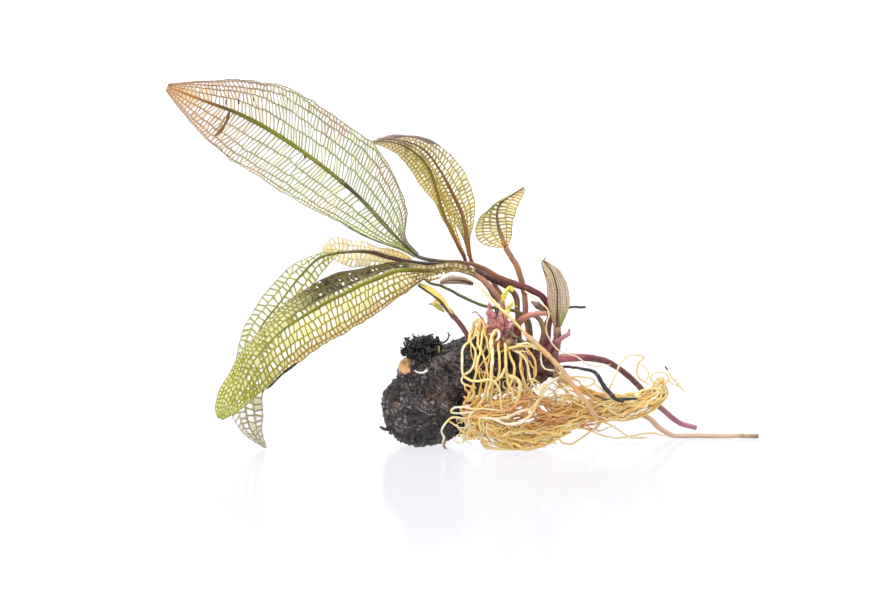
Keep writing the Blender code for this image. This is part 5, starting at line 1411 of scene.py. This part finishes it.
def raise_bark(corners, facing, knobs):
    """Give the rhizome its knobs, pebbles, crumbs and fibres. Returns its corners and their height."""
    gold = within(corners, GOLD_PATCH)
    smooth = within(corners, SMOOTH_ZONE)
    fibre = within(corners, FIBRE_ZONE)
    knob = field(corners, KNOB_SIZE, 3) * 1.3
    pebble = pebbles(corners, PEBBLE_SIZE, 5) * 1.0 - 0.55
    pebble = pebble * np.clip(0.6 + 1.2 * field(corners, 4.0, 13), 0.15, 1.3)
    pits = np.clip(field(corners, 1.9, 15) - 0.28, 0, 1) * -2.6
    crumb = field(corners, CRUMB_SIZE, 7) * 0.42 + field(corners, CRUMB_SIZE / 2, 9) * 0.24 + pits
    slanted = corners @ np.array([[0.7, 0, 0.7], [0, 1, 0], [-0.7, 0, 0.7]])
    strands = field(slanted, 1.1, 11, stretch=(0.16, 0.6, 1.0))
    strands = (1 - np.abs(strands) * 3) * 0.5
    rough = 1 - 0.55 * smooth
    height = knob * 0.7 + rough * (pebble * (1 - fibre) + crumb) + fibre * strands
    bare = np.clip(gold * 2.5, 0, 1)
    height = height * (1 - bare) + bare * (0.55 + 0.15 * knob)
    raised = corners + facing * (height * knobs - BARK_SINK)[:, None]
    raised[:, 2] = np.maximum(raised[:, 2], 0.05)
    return raised, height


def add_lump(shape, middle, size, seed, ball, **values):
    """A crumbly lump: a ball pushed in and out."""
    places, faces = ball
    lift = field(places + seed, 0.55, seed) * 0.55 + field(places - seed, 0.28, seed + 1) * 0.3
    grown = places * (1 + lift)[:, None] * np.asarray(size) + np.asarray(middle)
    grown[:, 2] = np.maximum(grown[:, 2], 0.05)
    shape.add(grown, faces, **values)


def unit_ball(detail):
    """Corners and faces of a ball of radius one."""
    work = bmesh.new()
    bmesh.ops.create_icosphere(work, subdivisions=detail, radius=1.0)
    places = np.array([corner.co for corner in work.verts])
    faces = [[corner.index for corner in face.verts] for face in work.faces]
    work.free()
    return places, faces


def crawl(surface, start, heading, steps, stride, chance):
    """A line that creeps over a surface, turning a little on its way."""
    place, normal = surface.find_nearest(Vector(start))[:2]
    heading = Vector(heading)
    line = []
    for _ in range(steps):
        line.append(place + normal * 0.08)
        heading = heading + Vector(chance.normal(0, 0.35, 3))
        heading = (heading - normal * heading.dot(normal)).normalized()
        place, normal = surface.find_nearest(place + heading * stride)[:2]
    return np.array(line)


def rhizome_piece(finish, knobs):
    """The rhizome: its bark, the black tuft on top, fine threads over it, its few scraps and a dark tube of
    painted shade in one crevice.
    """
    chance = np.random.default_rng(RHIZOME_SEED)
    corners, faces, facing = rhizome_body()
    raised, height = raise_bark(corners, facing, knobs)
    shape = Shape()
    zones = dict(gold=GOLD_PATCH, red=RED_ZONE, fibre=FIBRE_ZONE, pink=PINK_PATCH, crown=CROWN_ZONE)
    marks = {mark: within(corners, zone) for mark, zone in zones.items()}
    shape.add(raised, faces, height=np.clip(0.5 + 0.5 * height, 0, 1),
              rise=np.clip((corners[:, 2] - 24) / 14, 0, 1), **marks)
    surface = BVHTree.FromPolygons([Vector(place) for place in raised], faces)
    add_tuft(shape, surface, chance)
    bare = np.nonzero(within(raised, GOLD_PATCH) < 0.1)[0]
    chip = unit_ball(2)
    for number in range(BARK_CHIPS):
        middle = raised[bare[int(chance.integers(len(bare)))]]
        add_lump(shape, middle, chance.uniform(0.3, 0.9) * chance.uniform(0.6, 1.3, 3), 500 + number, chip,
                 height=chance.uniform(0.3, 1.0))
    streaky = bare[within(raised[bare], FIBRE_ZONE) > 0.1]
    for number in range(BARK_THREADS):
        slanting = number % 3 == 0
        starts = streaky if slanting else bare
        heading = chance.normal(0, 0.4, 3) + (0.8, 0, -0.7) if slanting else chance.normal(0, 1, 3)
        steps = int(chance.integers(5, 20))
        line = crawl(surface, raised[starts[int(chance.integers(len(starts)))]], heading, steps, 0.5, chance)
        radii = chance.uniform(0.07, 0.2) * np.clip(0.4 + 3 * np.linspace(0, 1, steps)[::-1], 0, 1)
        add_tube(shape, line, radii, sides=3, height=0.5, thread=chance.uniform(0.1, 1.0))
    # The soot-coloured routes are the tuft's curl and fork, the side tab, and the tube of painted shade in a
    # crevice.
    for route, diameter, mark in (
            (TUFT_CURL, 1.0, "soot"), (TUFT_FORK, 0.5, "soot"), (WHITE_ROOTLET, 0.9, "pale"),
            (GREEN_SCRAP, 0.7, "green"), (SIDE_TAB, 1.6, "soot"), (PAINTED_CREVICE_SHADE, 1.3, "soot")):
        line = smooth_path(route, 16)
        at = np.linspace(0, 1, 16)
        radii = diameter / 2 * (1 - 0.5 * at) * (1 + 0.2 * wave(at, 3, waves=6, longest=0.5))
        add_tube(shape, line, radii, sides=7, height=0.5, **{mark: 1.0})
    return dress(shape.build("rhizome_bark", finish), "rhizome_bark", "rhizome")


def add_tuft(shape, surface, chance):
    """The black, crumbling remains of old stalks on top of the rhizome."""
    middle, reach = np.array(TUFT["middle"]), np.array(TUFT["reach"])

    def root_place():
        """A random place under the tuft, the direction out of the bark there, and how far out it is."""
        angle, share = chance.uniform(0, 2 * math.pi), math.sqrt(chance.random())
        aim = middle + reach * np.array([share * math.cos(angle), share * math.sin(angle), 0.0])
        place, normal = surface.find_nearest(Vector(aim))[:2]
        return np.array(place), np.array(normal), share
    ball = unit_ball(3)
    for number in range(TUFT["lumps"]):
        place, normal, share = root_place()
        size = chance.uniform(0.4, 1.3) * (1.2 - 0.5 * share)
        lift = chance.uniform(0.0, 1.0) * (1 - share * 0.6) * 3.0
        centre = place + normal * 0.3 * size + np.array([0, 0, lift])
        add_lump(shape, centre, size * chance.uniform(0.45, 1.5, 3), number, ball, soot=1.0,
                 height=chance.uniform(0.2, 0.8))
    for number in range(TUFT["spikes"]):
        place, normal, share = root_place()
        way = unit(normal + np.array([0, 0, 0.5]) + chance.normal(0, 0.7, 3))
        length = chance.uniform(1.0, 4.6) * (1.2 - share * 0.4)
        at = np.linspace(0, 1, 9)[:, None]
        line = place + way * at * length + chance.normal(0, 0.5, (9, 3)) * at
        taper = np.clip(2.4 - 2.1 * at[:, 0], 0, 1) * np.clip(1 + 0.45 * chance.normal(0, 1, 9), 0.3, 2)
        add_tube(shape, line, np.maximum(chance.uniform(0.5, 1.5) * taper, 0.12), sides=7, squash=0.35,
                 soot=1.0, height=chance.uniform(0.2, 0.7))


def rhizome_finish(dark, gold):
    """Rhizome bark: wet near-black earth, painted light and glints on its ridges, painted shade in its
    creases, brown zones and one patch of golden skin.
    """
    finish = Finish("rhizome_bark", 0.55, specular=0.55)
    height, thread = finish.value("height"), finish.value("thread")
    earth = finish.ramp(finish.noise(1.6, detail=6.0), [(0.34, 8, 6, 6), (0.5, *dark), (0.66, 70, 58, 56)])
    crown = finish.ramp(finish.noise(1.8, detail=5.0), [(0.32, 52, 30, 32), (0.5, 98, 60, 66),
                                                        (0.68, 150, 104, 104)])
    fibres = finish.ramp(thread, [(0.1, 34, 28, 28), (0.5, 92, 78, 74), (1.0, 168, 152, 146)])
    high = finish.sums("ADD", finish.value("rise"), finish.times(finish.noise(1.6, detail=4.0), 0.35))
    skin = finish.ramp(high, [(0.3, 120, 84, 56), (0.37, 236, 180, 124), (0.54, *gold), (0.6, 92, 58, 34),
                              (0.66, *gold), (0.74, 158, 110, 56), (0.8, 90, 68, 40), (0.95, 70, 54, 34)])
    soot = finish.ramp(finish.noise(0.8, detail=5.0), [(0.4, 8, 8, 8), (0.56, 34, 34, 32), (0.66, 92, 92, 96),
                                                       (0.72, 70, 64, 56)])
    brown = finish.times(finish.value("red"), finish.patches(2.0, 0.4, 0.62, 0.85, detail=5.0))
    # Painted glints: small light flecks on the raised ridges.
    painted_glint = finish.times(finish.levels(height, 0.45, 0.7), finish.patches(0.8, 0.55, 0.63, 0.9))
    fibre = finish.times(finish.value("fibre"), finish.levels(height, 0.45, 0.85, 0.0, 0.8))
    bare = finish.levels(finish.value("gold"), 0.3, 0.42)
    finish.colour(finish.layers(
        earth,
        # Painted light on the raised ridges.
        (finish.levels(height, 0.55, 0.95, 0.0, 0.55), (112, 98, 98)),
        (painted_glint, (186, 172, 180)),
        # Painted shade in the creases, where the relief is low.
        (finish.levels(height, 0.45, 0.15, 0.0, 0.9), (6, 5, 5)),
        (brown, (104, 62, 50)),
        (finish.levels(finish.value("crown"), 0.1, 0.7, 0.0, 0.85), crown),
        (fibre, (124, 108, 112)),
        (finish.times(finish.value("pink"), finish.patches(0.8, 0.4, 0.6)), (164, 120, 92)),
        (finish.patches(3.5, 0.6, 0.72, 0.4, detail=5.0), (112, 92, 78)),
        (finish.sums("GREATER_THAN", thread, 0.05), fibres),
        (bare, skin),
        # Soot colour: the black tuft, and the painted shade in the crevice.
        (finish.value("soot"), soot),
        (finish.value("pale"), (250, 240, 232)),
        (finish.value("green"), (202, 206, 92))))
    wet = finish.levels(finish.noise(0.9, detail=5.0), 0.42, 0.58, 0.16, 0.75)
    finish.roughen(finish.sums("SUBTRACT", wet, finish.times(bare, 0.2)))
    finish.bump(finish.noise(0.3, detail=6.0, roughness=0.7), 0.25, 0.9)
    return finish.material


class LeafSettings(PropertyGroup):
    """What a user would change on the net leaves."""

    light: FloatProperty(
        name="Lightness", description="How light the leaves' colours are", default=1.0, min=0.2, max=1.5,
        subtype="FACTOR")


class RhizomeSettings(PropertyGroup):
    """What a user would change on the rhizome."""

    knobs: FloatProperty(
        name="Knobs", description="How far the knobs and crumbs stand out", default=1.0, min=0.0, max=2.0,
        subtype="FACTOR")
    earth: FloatVectorProperty(
        name="Earth", description="Colour of the bark", default=(0.165, 0.145, 0.14), min=0.0, max=1.0,
        subtype="COLOR_GAMMA")
    skin: FloatVectorProperty(
        name="Skin", description="Colour of the bare patch of skin", default=(0.82, 0.58, 0.28),
        min=0.0, max=1.0, subtype="COLOR_GAMMA")


class RootSettings(PropertyGroup):
    """What a user would change on the roots."""

    thickness: FloatProperty(
        name="Thickness", description="Thickness of the roots against those of the plant", default=1.0,
        min=0.5, max=2.0, subtype="FACTOR")


class StageSettings(PropertyGroup):
    """What a user would change on the stage."""

    white: FloatVectorProperty(
        name="White", description="Colour of the floor and the light", default=(1.0, 1.0, 1.0),
        subtype="COLOR")
    sky: FloatProperty(
        name="Sky Light", description="Brightness of the light from all round", default=1.0, min=0.0, max=5.0)
    top_light: FloatProperty(
        name="Top Light", description="Power of the large light overhead", default=3.0, min=0.0, max=100.0,
        unit="POWER")
    front_light: FloatProperty(
        name="Front Light", description="Power of the light at the front left", default=1.6,
        min=0.0, max=100.0, unit="POWER")


class LACEPLANT_OT_add_leaves(Operator):
    """Add the leaves, each a net of veins"""

    bl_idname = "laceplant.add_leaves"
    bl_label = "Add Leaves"

    def execute(self, context):
        """Build every leaf."""
        light = context.scene.lace_leaves.light
        for name, leaf in LEAVES.items():
            net_leaf(name, leaf, leaf_finish(name, light))
        return {"FINISHED"}


class LACEPLANT_OT_add_stalks(Operator):
    """Add the stalks and stubs that rise from the crown"""

    bl_idname = "laceplant.add_stalks"
    bl_label = "Add Stalks"

    def execute(self, context):
        """Build every stalk."""
        for number, (name, stalk) in enumerate(STALKS.items()):
            stalk_piece(name, stalk, STALK_SEED + 20 * number)
        return {"FINISHED"}


class LACEPLANT_OT_add_sheaths(Operator):
    """Add the leaf sheaths at the crown, with their young shoots"""

    bl_idname = "laceplant.add_sheaths"
    bl_label = "Add Sheaths"

    def execute(self, context):
        """Build every sheath."""
        finish = sheath_finish()
        for name, sheath in SHEATHS.items():
            sheath_piece(name, sheath, finish)
        return {"FINISHED"}


class LACEPLANT_OT_add_rhizome(Operator):
    """Add the knobbly rhizome"""

    bl_idname = "laceplant.add_rhizome"
    bl_label = "Add Rhizome"

    def execute(self, context):
        """Build the rhizome."""
        settings = context.scene.lace_rhizome
        finish = rhizome_finish(as_seen(settings.earth), as_seen(settings.skin))
        rhizome_piece(finish, settings.knobs)
        return {"FINISHED"}


class LACEPLANT_OT_add_roots(Operator):
    """Add the hanging, trailing and long roots"""

    bl_idname = "laceplant.add_roots"
    bl_label = "Add Roots"

    def execute(self, context):
        """Build every group of roots."""
        finish = root_finish()
        for number, name in enumerate(ROOTS):
            root_piece(name, finish, context.scene.lace_roots.thickness, ROOT_SEED + 50 * number)
        return {"FINISHED"}


class LACEPLANT_OT_add_stage(Operator):
    """Add the floor, the lights and the camera"""

    bl_idname = "laceplant.add_stage"
    bl_label = "Add Stage"

    def execute(self, context):
        """Build the stage."""
        settings = context.scene.lace_stage
        scene = context.scene
        bpy.ops.mesh.primitive_plane_add(size=FLOOR_SIZE)
        floor = context.active_object
        floor.name = "floor"
        floor.data.materials.append(table_finish())
        world = bpy.data.worlds.new("white_room")
        world.use_nodes = True
        background = world.node_tree.nodes["Background"]
        background.inputs["Color"].default_value = (*settings.white, 1.0)
        background.inputs["Strength"].default_value = settings.sky
        scene.world = world
        add_light("top_light", settings.top_light, settings.white, **TOP_LIGHT)
        add_light("front_light", settings.front_light, settings.white, **FRONT_LIGHT)
        scene.view_settings.view_transform = "Standard"
        lens = bpy.data.cameras.new("camera")
        lens.lens = CAMERA_LENS
        camera = add_object("camera", lens)
        camera.location = Vector(CAMERA_PLACE) * MM
        camera.rotation_euler = (math.radians(CAMERA_TILT), 0.0, 0.0)
        lens.clip_start, lens.clip_end = CAMERA_CLIP
        scene.camera = camera
        return {"FINISHED"}


def add_light(name, power, colour, place, size):
    """A square soft light that points at the middle of the plant."""
    light = bpy.data.lights.new(name, "AREA")
    light.size = size * MM
    light.energy = power
    light.color = colour
    lamp = add_object(name, light)
    lamp.location = Vector(place) * MM
    aim = Vector((0.0, 0.0, LIGHT_AIM_HEIGHT * MM)) - lamp.location
    lamp.rotation_euler = aim.to_track_quat("-Z", "Y").to_euler()


def table_finish():
    """A glossy white table that glows evenly, so that it shows a faint reflection and little shadow."""
    finish = Finish("white_table", TABLE_ROUGHNESS)
    finish.shader.inputs["IOR"].default_value = TABLE_IOR
    finish.colour(finish.ramp(finish.noise(400.0), [(0.0, 70, 70, 72), (1.0, 74, 74, 76)]))
    place = finish.node("ShaderNodeSeparateXYZ", [("Vector", finish.place)])
    glow = finish.levels(place.outputs["Y"], TABLE_NEAR, TABLE_FAR, *TABLE_GLOW)
    finish.tree.links.new(glow, finish.shader.inputs["Emission Strength"])
    finish.shader.inputs["Emission Color"].default_value = (0.94, 0.945, 1.0, 1.0)
    return finish.material


class LACEPLANT_PT_panel(Panel):
    """The plant's steps, in the sidebar"""

    bl_idname = "LACEPLANT_PT_panel"
    bl_label = "Lace Plant"
    bl_space_type = "VIEW_3D"
    bl_region_type = "UI"
    bl_category = "Lace Plant"

    def draw(self, context):
        """Show the settings and a button for each step."""
        layout = self.layout
        for group, kind in SETTINGS.items():
            for key in kind.__annotations__:
                layout.prop(getattr(context.scene, group), key)
        for step in STEPS:
            layout.operator(step.bl_idname)


STEPS = (LACEPLANT_OT_add_leaves, LACEPLANT_OT_add_stalks, LACEPLANT_OT_add_sheaths, LACEPLANT_OT_add_rhizome,
         LACEPLANT_OT_add_roots, LACEPLANT_OT_add_stage)
SETTINGS = {"lace_leaves": LeafSettings, "lace_rhizome": RhizomeSettings, "lace_roots": RootSettings,
            "lace_stage": StageSettings}
CLASSES = tuple(SETTINGS.values()) + STEPS + (LACEPLANT_PT_panel,)


def register():
    """Make the settings, steps and panel known to Blender."""
    for kind in CLASSES:
        bpy.utils.register_class(kind)
    for group, kind in SETTINGS.items():
        setattr(bpy.types.Scene, group, PointerProperty(type=kind))


def unregister():
    """Take them away again."""
    for group in SETTINGS:
        delattr(bpy.types.Scene, group)
    for kind in reversed(CLASSES):
        bpy.utils.unregister_class(kind)


def main():
    """Build the whole plant on its stage."""
    register()
    bpy.ops.laceplant.add_leaves()
    bpy.ops.laceplant.add_stalks()
    bpy.ops.laceplant.add_sheaths()
    bpy.ops.laceplant.add_rhizome()
    bpy.ops.laceplant.add_roots()
    bpy.ops.laceplant.add_stage()


if __name__ == "__main__":
    main()
